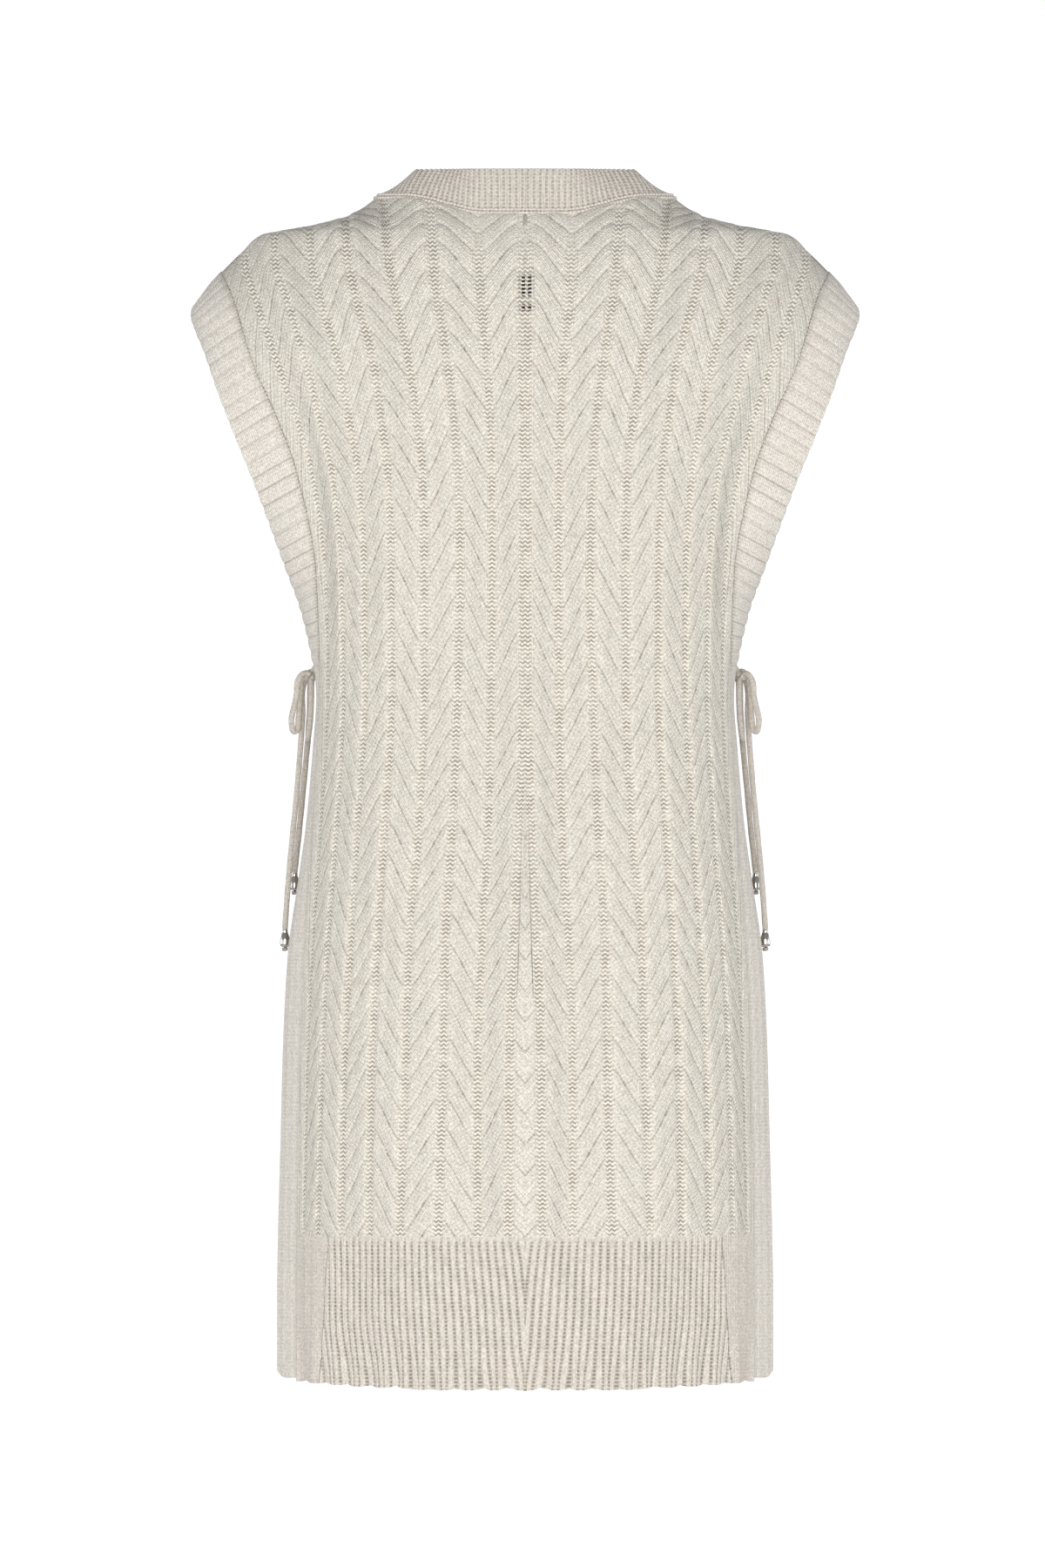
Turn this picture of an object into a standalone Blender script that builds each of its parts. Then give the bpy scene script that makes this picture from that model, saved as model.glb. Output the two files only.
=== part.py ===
"""Sleeveless cable-knit tunic with a V neck, open sides and side ties, worn form.

The front faces -Y, up is +Z, and the origin lies between the points where the shoulders meet
the neck. Lengths in the tables and constants are millimetres, and MM turns them into metres.
"""
import math

import bmesh
import bpy
import numpy as np
from mathutils import Vector

MM = 0.001

# ---- cloth
WALL = 1.8                  # cloth in the purl stripes, ribs' furrows and plain strips
CABLE_RAISE = 2.2           # crest of a cable over the purl stripes
RIB_RAISE = 1.0             # crest of a rib over its furrow
BAND_RIB_RAISE = 0.9
SEAM_GAP = 0.4              # between pieces along their surface

# ---- heights from the neck point
HEM_SEAM_HEIGHT = -690.0    # where the cables end and the hem rib begins
HEM_CENTRE_HEIGHT = -790.0
HEM_SIDE_HEIGHT = -785.0
CORNER_DROP = 6.0           # rounded lower corners of the side bands

# ---- neck
NECK_HALF_WIDTH = 97.0
NECK_POINT_HEIGHT = 2.0
BACK_NECK_DROP = 9.0        # centre of the back neck seam under the neck points
V_POINT_HEIGHT = -224.0     # lowest point of the front neck seam
V_BOW = 1.10                # above 1, the sides of the V curve a little outwards
NECKBAND_WIDTH = 26.5
NECKBAND_RIB_PITCH = 4.9
NECKBAND_RIB_RAISE = 0.8
NECKBAND_LEAN = -0.12       # how far the back of the band leans in for each unit up
NECKBAND_TURN = 3.0         # how soon the band leans in with the shoulders, away from the back
NECK_NORMAL_DROP = 1.5      # how far under the neck seam the cloth's slope is taken
MITRE_END = 2.0             # shortest rib where the mitre ends

# ---- knit pattern
REPEAT_BELOW = 20.4         # one cable crossing to the next, under the waist
REPEAT_ABOVE = 22.3         # and above it
REPEAT_CHANGE_HEIGHT = -380.0
REPEAT_CHANGE_SPAN = 60.0
STRAND_CLIMB = 1.5          # repeats that a strand climbs on its way across the cable
HEM_RIB_PITCH = 5.0
SCALLOPS = 9.5              # waves of the lower edge, from the centre to one side
SCALLOP_DEPTH = 1.3
BAND_RIB_PITCH = 10.5       # along the side band
BAND_RIB_END_HEIGHT = -316.0

# ---- the body's sections: a row for each height
SECTION_NAMES = ("height", "half_width", "back_depth", "front_depth", "edge", "flat", "turn")
SECTIONS = (
    (2.0, 97.0, 46.0, 42.0, 0.0, 2.2, 2.0),
    (-7.0, 109.0, 55.0, 50.0, 0.0, 2.2, 2.0),
    (-13.0, 122.0, 60.0, 55.0, 0.0, 2.2, 2.0),
    (-19.0, 148.0, 64.0, 59.0, 0.0, 2.2, 2.0),
    (-24.0, 175.0, 67.0, 62.0, 0.0, 2.2, 2.0),
    (-36.0, 189.0, 74.0, 69.0, 0.0, 2.2, 2.0),
    (-48.0, 201.0, 79.0, 75.0, 0.0, 2.2, 2.0),
    (-61.0, 213.0, 84.0, 80.0, 0.0, 2.2, 2.0),
    (-71.0, 220.5, 87.0, 84.0, 0.0, 2.2, 2.0),
    (-73.0, 221.3, 88.0, 85.0, 0.5, 2.2, 2.0),
    (-78.0, 222.0, 89.5, 87.0, 14.0, 2.2, 1.95),
    (-88.0, 219.0, 91.5, 91.0, 27.0, 2.3, 1.7),
    (-100.0, 214.0, 94.0, 95.0, 38.0, 2.35, 1.5),
    (-129.0, 204.0, 98.0, 102.0, 52.0, 2.4, 1.2),
    (-158.0, 193.0, 100.0, 107.0, 60.0, 2.5, 1.05),
    (-187.0, 181.0, 100.0, 110.0, 62.5, 2.6, 1.1),
    (-216.0, 170.0, 98.0, 109.0, 58.0, 2.8, 1.25),
    (-245.0, 159.5, 95.0, 106.0, 46.0, 3.0, 1.45),
    (-274.0, 149.0, 91.5, 101.0, 28.0, 3.0, 1.8),
    (-303.0, 142.0, 89.5, 98.0, 10.5, 3.0, 2.5),
    (-316.0, 139.5, 89.0, 97.0, 7.0, 3.0, 2.8),
    (-332.0, 138.5, 89.5, 96.5, 7.0, 3.0, 2.8),
    (-367.0, 141.0, 92.0, 97.5, 8.0, 3.0, 2.4),
    (-419.0, 146.0, 96.5, 100.0, 10.0, 3.0, 2.0),
    (-448.0, 150.0, 99.0, 102.0, 11.5, 3.1, 1.6),
    (-506.0, 158.0, 104.0, 105.0, 13.5, 3.3, 1.2),
    (-564.0, 161.0, 108.0, 108.0, 15.5, 3.4, 1.12),
    (-622.0, 162.5, 111.0, 110.5, 17.5, 3.5, 1.06),
    (-690.0, 164.3, 113.5, 112.5, 19.5, 3.5, 1.02),
    (-738.0, 165.0, 115.5, 114.0, 21.0, 3.5, 1.0),
    (-800.0, 165.0, 117.0, 115.0, 22.0, 3.5, 1.0),
)

# ---- distance from the centre line to each purl stripe, and to the seam of the side band
STRIPE_NAMES = ("height", "s0", "s1", "s2", "s3", "s4", "s5", "s6", "s7", "seam")
STRIPES = (
    (2.0, 0.0, 31.5, 63.0, 95.0, 120.0, 143.5, 166.5, 186.5, 205.0),
    (-42.0, 0.0, 30.7, 60.9, 91.1, 117.7, 142.1, 166.0, 186.0, 204.0),
    (-65.0, 0.0, 29.6, 58.6, 86.5, 112.5, 137.0, 159.5, 179.5, 195.0),
    (-111.0, 0.0, 25.2, 51.6, 77.1, 100.3, 123.5, 145.0, 163.5, 180.5),
    (-150.0, 0.0, 23.0, 47.0, 71.5, 95.0, 116.5, 136.0, 150.5, 163.5),
    (-181.0, 0.0, 22.2, 44.7, 67.9, 91.1, 110.8, 128.6, 141.6, 152.2),
    (-251.0, 0.0, 22.0, 43.0, 66.7, 88.7, 106.7, 122.0, 132.6, 138.8),
    (-320.0, 0.0, 22.4, 44.6, 66.7, 88.2, 106.1, 120.6, 131.0, 136.4),
    (-425.0, 0.0, 24.4, 48.7, 70.8, 93.4, 111.4, 125.1, 135.5, 141.3),
    (-494.0, 0.0, 28.4, 52.8, 77.1, 98.0, 115.4, 129.4, 139.6, 145.3),
    (-564.0, 0.0, 31.3, 53.9, 78.9, 102.1, 119.5, 132.8, 143.0, 148.4),
    (-690.0, 0.0, 31.3, 57.4, 83.0, 104.4, 122.0, 136.3, 146.0, 151.0),
)
LAST_STRIPE = 8             # the seam counts as the stripe after s7
STRIPE_SHOULDER = -48.0     # where that seam meets the shoulder line

# ---- rows of the side band's plain part
PLAIN_ROWS = (-316.0, -323.0, -330.0, -338.0, -348.0, -360.0, -374.0, -392.0, -412.0, -432.0, -454.0,
              -480.0, -510.0, -545.0, -590.0, -640.0, -690.0, -779.0)

# ---- how far the free edge of the side band lies under its seam, along a rib
BAND_DROPS = (
    (-48.0, 25.0),
    (-59.0, 21.5),
    (-81.0, 17.0),
    (-102.0, 14.0),
    (-150.0, 11.0),
    (-207.0, 9.0),
    (-255.0, 5.0),
    (-300.0, 1.0),
    (-316.0, 0.0),
    (-800.0, 0.0),
)

# ---- grid steps of the solids
ROWS_PER_REPEAT = 2
LAST_ROW_ROOM = 0.4         # least part of a row left under a panel's upper edge
TOP_NECK_STEPS = {1: 14, -1: 14}
TOP_SHOULDER_STEPS = 6
CREST_PLACE = 0.5           # crest of a cable between its stripes
CREST_SWAY = 0.13           # to each side of it, row by row
INNER_ROWS = (0.0, 0.11, 0.22, 0.33, 0.44, 0.55, 0.66, 0.76, 0.84, 0.9, 0.95, 1.0)
INNER_SEAM_STEPS = 44       # the seam's inner rows lie closer together
INNER_HEM_COLUMNS = 8
INNER_NECK_STEP = 8
INNER_BAND_STEP = 4
BAND_POINTS = 3
NEAR_ANGLE = 0.03

# ---- ties, given on the left side and mirrored for the right
CORD_DIAMETER = 3.9
TIE_GAP = 0.3
KNOT_CENTRE = (143.0, 0.0, -317.5)
KNOT_RADII = (4.6, 6.4, 4.6)
KNOT_LEAVE = 2.4            # straight stretch of a cord where it leaves the knot
CORD_SPACING = {"end": 2.2, "loop": 8.5, "tail": 16.0}
CORD_ROUTES = {
    "end_back": ((138.8, 6.6, -310.6), (138.8, 5.4, -310.6), (140.6, 3.0, -313.8)),
    "end_front": ((138.8, -6.6, -310.6), (138.8, -5.4, -310.6), (140.6, -3.0, -313.8)),
    "loop_back": (
        (148.0, 4.2, -316.4),
        (151.6, 6.2, -322.0),
        (152.2, 6.4, -330.0),
        (153.8, 6.6, -338.0),
        (155.6, 6.4, -347.0),
        (154.6, 4.2, -354.6),
        (151.8, 1.8, -353.4),
        (150.9, 0.6, -346.0),
        (150.3, 0.2, -337.0),
        (149.8, 0.2, -328.0),
        (148.6, 0.4, -319.9),
    ),
    "loop_front": (
        (142.4, 4.9, -322.4),
        (142.4, 6.4, -330.0),
        (142.6, 6.6, -341.0),
        (143.6, 5.6, -352.0),
        (144.6, 2.6, -359.8),
        (144.3, -0.2, -353.0),
        (143.6, -0.8, -342.0),
        (143.3, 0.0, -331.0),
        (143.3, 0.2, -323.0),
    ),
    "tail_back": (
        (147.0, -4.3, -321.4),
        (148.4, -5.6, -330.0),
        (148.3, -4.6, -345.0),
        (149.4, -3.2, -362.0),
        (152.0, -0.8, -395.0),
        (155.0, 0.4, -425.0),
        (157.8, 1.0, -456.0),
        (160.0, 1.0, -486.5),
    ),
    "tail_front": (
        (142.3, -4.7, -322.4),
        (143.0, -6.0, -331.0),
        (143.4, -6.6, -345.0),
        (145.6, -7.0, -370.0),
        (148.0, -7.2, -395.0),
        (150.4, -7.2, -420.0),
        (153.6, -7.0, -449.0),
    ),
}
BELL_PROFILE = (
    (0.0, 0.0),
    (0.0, 2.3),
    (3.4, 2.7),
    (6.8, 3.5),
    (9.4, 3.7),
    (11.2, 3.2),
    (11.8, 2.2),
    (11.8, 0.0),
)
BELL_STEPS = 8
BELL_KNOT_RADII = (2.0, 2.0, 1.3)

WOOL = (0.71, 0.665, 0.585, 1.0)
WOOL_BAND = (0.66, 0.62, 0.55, 1.0)
SILVER = (0.62, 0.61, 0.59, 1.0)


def clear_scene():
    for item in list(bpy.data.objects):
        bpy.data.objects.remove(item, do_unlink=True)


def material(name, colour, roughness, metallic):
    made = bpy.data.materials.new(name)
    made.use_nodes = True
    shader = made.node_tree.nodes["Principled BSDF"]
    shader.inputs["Base Color"].default_value = colour
    shader.inputs["Roughness"].default_value = roughness
    shader.inputs["Metallic"].default_value = metallic
    return made


def smooth_through(places, values):
    """A function that runs smoothly through a table's rows and never overshoots them."""
    order = np.argsort(places)
    x = np.array(places, dtype=float)[order]
    y = np.array(values, dtype=float)[order]
    step = np.diff(x)
    slope = np.diff(y) / step
    tangent = np.zeros_like(y)
    tangent[0] = slope[0]
    tangent[-1] = slope[-1]
    for i in range(1, len(y) - 1):
        if slope[i - 1] * slope[i] > 0.0:
            before = 2.0 * step[i] + step[i - 1]
            after = step[i] + 2.0 * step[i - 1]
            tangent[i] = (before + after) / (before / slope[i - 1] + after / slope[i])

    def value(place):
        at = np.clip(place, x[0], x[-1])
        i = np.clip(np.searchsorted(x, at) - 1, 0, len(step) - 1)
        t = (at - x[i]) / step[i]
        rise = y[i + 1] - y[i]
        curve = y[i] + rise * t * t * (3.0 - 2.0 * t)
        bend = t * (1.0 - t) * ((1.0 - t) * tangent[i] - t * tangent[i + 1])
        return curve + step[i] * bend

    return value


def columns_of(names, rows):
    """One smooth function of height for each named column of a table."""
    heights = [row[0] for row in rows]
    table = {}
    for place, name in enumerate(names[1:], start=1):
        table[name] = smooth_through(heights, [row[place] for row in rows])
    return table


SECTION = columns_of(SECTION_NAMES, SECTIONS)
STRIPE = columns_of(STRIPE_NAMES, STRIPES)
STRIPE_ORDER = [STRIPE[name] for name in STRIPE_NAMES[1:]]
DROP = columns_of(("height", "drop"), BAND_DROPS)["drop"]
SHOULDER_HEIGHTS = np.linspace(-73.0, 2.0, 301)
SHOULDER_WIDTHS = SECTION["half_width"](SHOULDER_HEIGHTS)


# ---------------------------------------------------------------- the form of the cloth

def shoulder_height(across):
    """Height of the shoulder line at a distance from the centre."""
    return float(np.interp(-across, -SHOULDER_WIDTHS, SHOULDER_HEIGHTS))


def depth_at(across, height, side):
    """Distance of the cloth from the plane between back and front."""
    width = SECTION["half_width"](height)
    depth = SECTION["back_depth" if side > 0 else "front_depth"](height)
    edge = SECTION["edge"](height)
    reach = min(abs(across) / width, 1.0)
    rest = max(1.0 - reach ** SECTION["flat"](height), 0.0)
    return edge + (depth - edge) * rest ** (1.0 / SECTION["turn"](height))


def cloth_point(across, height, side):
    """Point on the cloth. side is 1 for the back and -1 for the front."""
    return np.array((across, side * depth_at(across, height, side), height))


def on_section(angle, sign, height, side):
    """Point of a section at an angle, 0 at the centre line and a quarter turn at its side."""
    share = math.sin(angle) ** (2.0 / SECTION["flat"](height))
    return cloth_point(sign * share * SECTION["half_width"](height), height, side)


def outward(across, height, side):
    """Direction that leaves the cloth at a point, from its neighbours along the section."""
    reach = min(abs(across) / SECTION["half_width"](height), 1.0)
    angle = math.asin(reach ** (SECTION["flat"](height) / 2.0))
    low = max(angle - NEAR_ANGLE, 0.0)
    high = min(angle + NEAR_ANGLE, math.pi / 2.0)
    sign = -1.0 if across < 0.0 else 1.0
    along = on_section(high, sign, height, side) - on_section(low, sign, height, side)
    upward = on_section(angle, sign, height + 1.0, side) - on_section(angle, sign, height - 1.0, side)
    normal = np.cross(upward, along) * side * sign
    return normal / np.linalg.norm(normal)


def stripe_across(place, height):
    """Distance from the centre at a place counted in stripes, 0 at the centre stripe."""
    first = min(int(abs(place)), LAST_STRIPE - 1)
    share = abs(place) - first
    near = STRIPE_ORDER[first](height)
    far = STRIPE_ORDER[first + 1](height)
    return math.copysign(near + (far - near) * share, place)


def seam_point(height, side, shift):
    """Point and outward direction beside the side seam, shifted along the cloth across it."""
    across = STRIPE["seam"](height)
    point = cloth_point(across, height, side)
    normal = outward(across, height, side)
    run = point - cloth_point(STRIPE["seam"](height - 1.0), height - 1.0, side)
    if height >= STRIPE_SHOULDER:
        point = cloth_point(across, shoulder_height(across), side)
        normal[1] = 0.0
        normal /= np.linalg.norm(normal)
        run = np.array((0.0, -side, 0.0))
    across_seam = np.cross(normal, run) * side
    return point + across_seam * shift / np.linalg.norm(across_seam), normal


def panel_point(place, height, side, rise):
    """Point of a panel, raised off the cloth; the outermost column keeps clear of the seam."""
    if abs(place) == LAST_STRIPE:
        point, normal = seam_point(height, side, -SEAM_GAP / 2.0)
        sign = math.copysign(1.0, place)
        return clear_of_middle((point + rise * normal) * np.array((sign, 1.0, 1.0)), side)
    across = stripe_across(place, height)
    point = cloth_point(across, height, side) + rise * outward(across, height, side)
    return clear_of_middle(point, side)


def neck_height(across, side):
    """Height of the neck seam inside the neck points."""
    share = min(abs(across) / NECK_HALF_WIDTH, 1.0)
    if side > 0:
        return NECK_POINT_HEIGHT - BACK_NECK_DROP * (1.0 - share ** 2)
    return V_POINT_HEIGHT + (NECK_POINT_HEIGHT - V_POINT_HEIGHT) * share ** V_BOW


def top_height(across, side):
    """Upper edge of a panel: under the neck seam, then along the shoulder line."""
    if abs(across) < NECK_HALF_WIDTH:
        return neck_height(across, side)
    return shoulder_height(abs(across))


def repeat_length(height):
    above = np.clip((height - REPEAT_CHANGE_HEIGHT) / REPEAT_CHANGE_SPAN, 0.0, 1.0)
    return REPEAT_BELOW + (REPEAT_ABOVE - REPEAT_BELOW) * above


def climb(place, side):
    """Repeats counted up one column of the cloth from the hem seam, and the height of each count."""
    heights = np.arange(HEM_SEAM_HEIGHT + SEAM_GAP / 2.0, NECK_POINT_HEIGHT + 1.0, 1.0)
    points = []
    for height in heights:
        across = stripe_across(place, height)
        top = top_height(across, side) - SEAM_GAP / 2.0
        points.append(cloth_point(across, min(height, top), side))
        if height >= top:
            break
    points = np.array(points)
    steps = np.linalg.norm(np.diff(points, axis=0), axis=1)
    middle = (points[1:, 2] + points[:-1, 2]) / 2.0
    counts = np.concatenate(([0.0], np.cumsum(steps / repeat_length(middle))))
    return counts, points[:, 2]


def rows_of(place, side):
    """(count, height) of a column's full rows; the upper edge comes after them."""
    counts, heights = climb(place, side)
    full = int(counts[-1] * ROWS_PER_REPEAT - LAST_ROW_ROOM)
    wanted = np.arange(full + 1) / ROWS_PER_REPEAT
    return list(zip(wanted, np.interp(wanted, counts, heights)))


def cable_rise(place, count):
    """Height of the cables over the purl stripes: strands that climb towards the even stripes."""
    stripe = int(abs(place))
    share = abs(place) - stripe
    if share == 0.0 or stripe >= LAST_STRIPE - 1:
        return 0.0
    climb = share if stripe % 2 else 1.0 - share
    return CABLE_RAISE * (0.66 + 0.34 * math.cos(2.0 * math.pi * (count - STRAND_CLIMB * climb)))


# ---------------------------------------------------------------- walls

class Wall:
    """Collects the points and faces of one closed wall of cloth."""

    def __init__(self):
        self.points = []
        self.faces = []

    def add(self, point):
        self.points.append(point)
        return len(self.points) - 1

    def stitch(self, first, second, turned=False):
        """Join two lines of (key, point number) with triangles, always to the nearer next key."""
        i = 0
        j = 0
        while i < len(first) - 1 or j < len(second) - 1:
            if i == len(first) - 1 or j == len(second) - 1:
                step_first = j == len(second) - 1
            elif turned:
                step_first = first[i + 1][0] < second[j + 1][0]
            else:
                step_first = first[i + 1][0] <= second[j + 1][0]
            if step_first:
                self.faces.append((first[i][1], second[j][1], first[i + 1][1]))
                i += 1
            else:
                self.faces.append((first[i][1], second[j][1], second[j + 1][1]))
                j += 1

    def sheet(self, columns):
        """Stitch neighbouring columns, each a (key, line) pair."""
        for number, (left, right) in enumerate(zip(columns, columns[1:])):
            self.stitch(left[1], right[1], turned=bool(number % 2))

    def rim(self, outer, inner):
        """Join the four borders of an outer sheet to those of an inner one."""
        for end in (0, -1):
            self.stitch(outer[end][1], inner[end][1])
            self.stitch([(key, line[end][1]) for key, line in outer],
                        [(key, line[end][1]) for key, line in inner])

    def build(self, name, collection, look):
        mesh = bpy.data.meshes.new(name)
        mesh.from_pydata([tuple(point * MM) for point in self.points], [], self.faces)
        shape = bmesh.new()
        shape.from_mesh(mesh)
        bmesh.ops.recalc_face_normals(shape, faces=shape.faces)
        shape.to_mesh(mesh)
        shape.free()
        mesh.materials.append(look)
        item = bpy.data.objects.new(name, mesh)
        collection.objects.link(item)
        return item


def mirrored(places):
    return [-place for place in reversed(places) if place > 0.0] + places


def clear_of_middle(point, side):
    """Keep back and front half a seam gap away from the plane between them."""
    point[1] = side * max(point[1] * side, SEAM_GAP / 2.0)
    return point


# ---------------------------------------------------------------- pieces

def top_places(side):
    """(place, distance from the centre) along a panel's upper edge, up to the side seam."""
    spread = np.linspace(0.0, 1.0, TOP_NECK_STEPS[side])
    rounded = np.sin(spread * math.pi / 2.0)
    if side < 0:
        rounded = (1.0 - np.cos(spread * math.pi) + 2.0 * spread) / 4.0
    distances = list(NECK_HALF_WIDTH * rounded)
    distances += list(np.linspace(NECK_HALF_WIDTH, STRIPE["seam"](STRIPE_SHOULDER), TOP_SHOULDER_STEPS))[1:-1]
    places = []
    for across in distances:
        height = top_height(across, side)
        stripes = [STRIPE[name](height) for name in STRIPE_NAMES[1:]]
        places.append((float(np.interp(across, stripes, range(LAST_STRIPE + 1))), across))
    return places


def top_point(across, side, inset):
    """Point of a panel's upper edge, half a seam gap under the neck seam or beside the shoulder."""
    height = top_height(across, side)
    normal = outward(across, height, side)
    point = cloth_point(across, height, side)
    if across <= NECK_HALF_WIDTH:
        ahead = across + 0.5
        run = cloth_point(ahead, neck_height(ahead, side), side) - point
        if across == NECK_HALF_WIDTH:
            run = np.array((0.0, -side, 0.0))
        down = np.cross(normal, run) * side
        point = point + down * SEAM_GAP / 2.0 / np.linalg.norm(down)
    return clear_of_middle(point - inset * normal, side)


def top_line(wall, side, inset):
    """The points of a panel's upper edge from one seam to the other."""
    line = []
    for place, across in top_places(side):
        line.append((place, top_point(across, side, inset)))
    line.append((LAST_STRIPE, panel_point(LAST_STRIPE, STRIPE_SHOULDER, side, -inset)))
    flip = np.array((-1.0, 1.0, 1.0))
    both = [(-place, point * flip) for place, point in line[:0:-1]] + line
    return [(place, wall.add(point)) for place, point in both]


def cable_side(wall, side):
    """Outer face of a panel: cables up to the last full rows."""
    half = [0.0]
    for stripe in range(LAST_STRIPE - 1):
        half += [stripe + CREST_PLACE, stripe + 1.0]
    columns = []
    for place in mirrored(half + [LAST_STRIPE]):
        line = []
        for number, (count, height) in enumerate(rows_of(place, side)):
            at = place
            rise = 0.0
            if number and place % 1.0:
                sway = CREST_SWAY if (number + int(abs(place))) % 2 else -CREST_SWAY
                at = math.copysign(abs(place) + sway, place)
                rise = cable_rise(at, count)
            line.append((height, wall.add(panel_point(at, height, side, rise))))
        columns.append((place, line))
    return columns


def plain_side(wall, side, top):
    """Inner face of a panel: a plain grid under the points of its upper edge."""
    columns = []
    for place, edge in top:
        shares = np.array(INNER_ROWS)
        if abs(place) == LAST_STRIPE:
            shares = np.linspace(0.0, 1.0, INNER_SEAM_STEPS + 1)
        counts, heights = climb(place, side)
        line = []
        for share in shares[:-1]:
            height = float(np.interp(share * counts[-1], counts, heights))
            line.append((share, wall.add(panel_point(place, height, side, -WALL))))
        columns.append((place, line + [(1.0, edge)]))
    return columns


def panel(name, side, collection, look):
    """Cable-knit field: cables raised on the outside, plain inside."""
    wall = Wall()
    outer = cable_side(wall, side)
    outer_top = top_line(wall, side, 0.0)
    wall.sheet(outer)
    wall.stitch([(place, line[-1][1]) for place, line in outer], outer_top)
    inner_top = top_line(wall, side, WALL)
    inner = plain_side(wall, side, inner_top)
    wall.sheet(inner)
    wall.stitch(outer_top, inner_top)
    wall.stitch([(place, line[0][1]) for place, line in outer],
                [(place, line[0][1]) for place, line in inner])
    for end in (0, -1):
        seam = [(height, point) for height, point in outer[end][1]] + [(0.0, outer_top[end][1])]
        counts, heights = climb(LAST_STRIPE, side)
        inside = []
        for share, point in inner[end][1][:-1]:
            inside.append((float(np.interp(share * counts[-1], counts, heights)), point))
        wall.stitch(seam, inside + [(0.0, inner[end][1][-1][1])])
    return wall.build(name, collection, look)


def section_places(height, side, count, reach):
    """Distances from the centre of evenly spaced points of a section, up to a reach."""
    fine = reach * np.sin(np.linspace(0.0, math.pi / 2.0, 80))
    points = np.array([cloth_point(across, height, side) for across in fine])
    steps = np.linalg.norm(np.diff(points, axis=0), axis=1)
    length = np.concatenate(([0.0], np.cumsum(steps)))
    return np.interp(np.linspace(0.0, length[-1], count), length, fine), length[-1]


def hem_height(share):
    """Lower edge of the hem: softly scalloped, a little deeper at the centre."""
    sweep = HEM_CENTRE_HEIGHT + (HEM_SIDE_HEIGHT - HEM_CENTRE_HEIGHT) * share ** 2
    return sweep + SCALLOP_DEPTH * math.cos(2.0 * math.pi * SCALLOPS * share)


def hem_rib(name, side, collection, look):
    """1x1 rib under a panel, ridges from its top to its lower edge."""
    top = HEM_SEAM_HEIGHT - SEAM_GAP / 2.0
    middle = (HEM_SEAM_HEIGHT + HEM_SIDE_HEIGHT) / 2.0
    ribs = int(section_places(middle, side, 2, STRIPE["seam"](middle))[1] / HEM_RIB_PITCH)
    wall = Wall()
    sheets = []
    for count, ridge, floor in ((2 * ribs + 1, RIB_RAISE, 0.0), (INNER_HEM_COLUMNS, -WALL, -WALL)):
        columns = []
        for number in mirrored([float(k) for k in range(count)]):
            index = int(abs(number))
            share = index / (count - 1)
            rise = ridge if index % 2 else floor
            line = []
            for height in (hem_height(share), top):
                seam = STRIPE["seam"](height)
                across = math.copysign(section_places(height, side, count, seam)[0][index], number)
                if share == 1.0:
                    point = panel_point(math.copysign(LAST_STRIPE, number), height, side, rise)
                else:
                    point = cloth_point(across, height, side) + rise * outward(across, height, side)
                line.append((height, wall.add(point)))
            columns.append((math.copysign(share, number), line))
        wall.sheet(columns)
        sheets.append(columns)
    wall.rim(sheets[0], sheets[1])
    return wall.build(name, collection, look)


def band_stations(side):
    """(seam height, edge height) pairs down one side of a side band, from the shoulder."""
    pairs = []
    height = STRIPE_SHOULDER
    while height > BAND_RIB_END_HEIGHT:
        pairs.append(height)
        ahead = height - 1.0
        start = cloth_point(STRIPE["seam"](height), height, side)
        end = cloth_point(STRIPE["seam"](ahead), ahead, side)
        height -= BAND_RIB_PITCH / 2.0 / np.linalg.norm(end - start)
    return pairs


def band_line(height, side, count):
    """(point, outward direction) across the side band, from its seam to its free edge."""
    edge_height = height - DROP(height)
    seam = STRIPE["seam"](height)
    edge = SECTION["half_width"](edge_height)
    fine = []
    for share in 1.0 - np.linspace(1.0, 0.0, 40) ** 2:
        at = height + (edge_height - height) * share
        fine.append((min(seam + (edge - seam) * share, SECTION["half_width"](at)), at))
    points = np.array([cloth_point(across, at, side) for across, at in fine])
    if height >= STRIPE_SHOULDER:
        points[:, 1] = 0.0
    steps = np.linalg.norm(np.diff(points, axis=0), axis=1)
    length = np.concatenate(([0.0], np.cumsum(steps)))
    line = [seam_point(height, side, SEAM_GAP / 2.0)]
    for far in np.linspace(0.0, length[-1], count)[1:]:
        across = np.interp(far, length, [place[0] for place in fine])
        at = np.interp(far, length, [place[1] for place in fine])
        point = np.array([np.interp(far, length, points[:, k]) for k in range(3)])
        normal = outward(across, at, side)
        if height >= STRIPE_SHOULDER:
            normal[1] = 0.0
            normal /= np.linalg.norm(normal)
        line.append((point, normal))
    return line


def side_band(name, sign, collection, look):
    """Strip from the back hem over the shoulder to the front hem, ribbed down to the tie."""
    flip = np.array((sign, 1.0, 1.0))
    wall = Wall()
    outer = []
    inner = []
    for side in (1, -1):
        ribbed = band_stations(side)
        stations = [(height, number) for number, height in enumerate(ribbed)]
        stations += [(height, 0) for height in PLAIN_ROWS + (HEM_SIDE_HEIGHT,)]
        stations = stations[::-1] if side > 0 else stations[1:]
        for height, number in stations:
            line = band_line(height, side, BAND_POINTS)
            if height == HEM_SIDE_HEIGHT:
                line[-1][0][2] += CORNER_DROP
            key = side * (height - STRIPE_SHOULDER)
            rise = BAND_RIB_RAISE if number % 2 else 0.0
            raised = [wall.add((point + rise * normal) * flip) for point, normal in line]
            outer.append((key, list(enumerate(raised))))
            if number % INNER_BAND_STEP == 0:
                ends = (line[0], line[-1])
                plain_side = [wall.add((point - WALL * normal) * flip) for point, normal in ends]
                inner.append((key, list(zip((0, BAND_POINTS - 1), plain_side))))
    wall.sheet(outer)
    wall.sheet(inner)
    wall.rim(outer, inner)
    return wall.build(name, collection, look)


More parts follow.
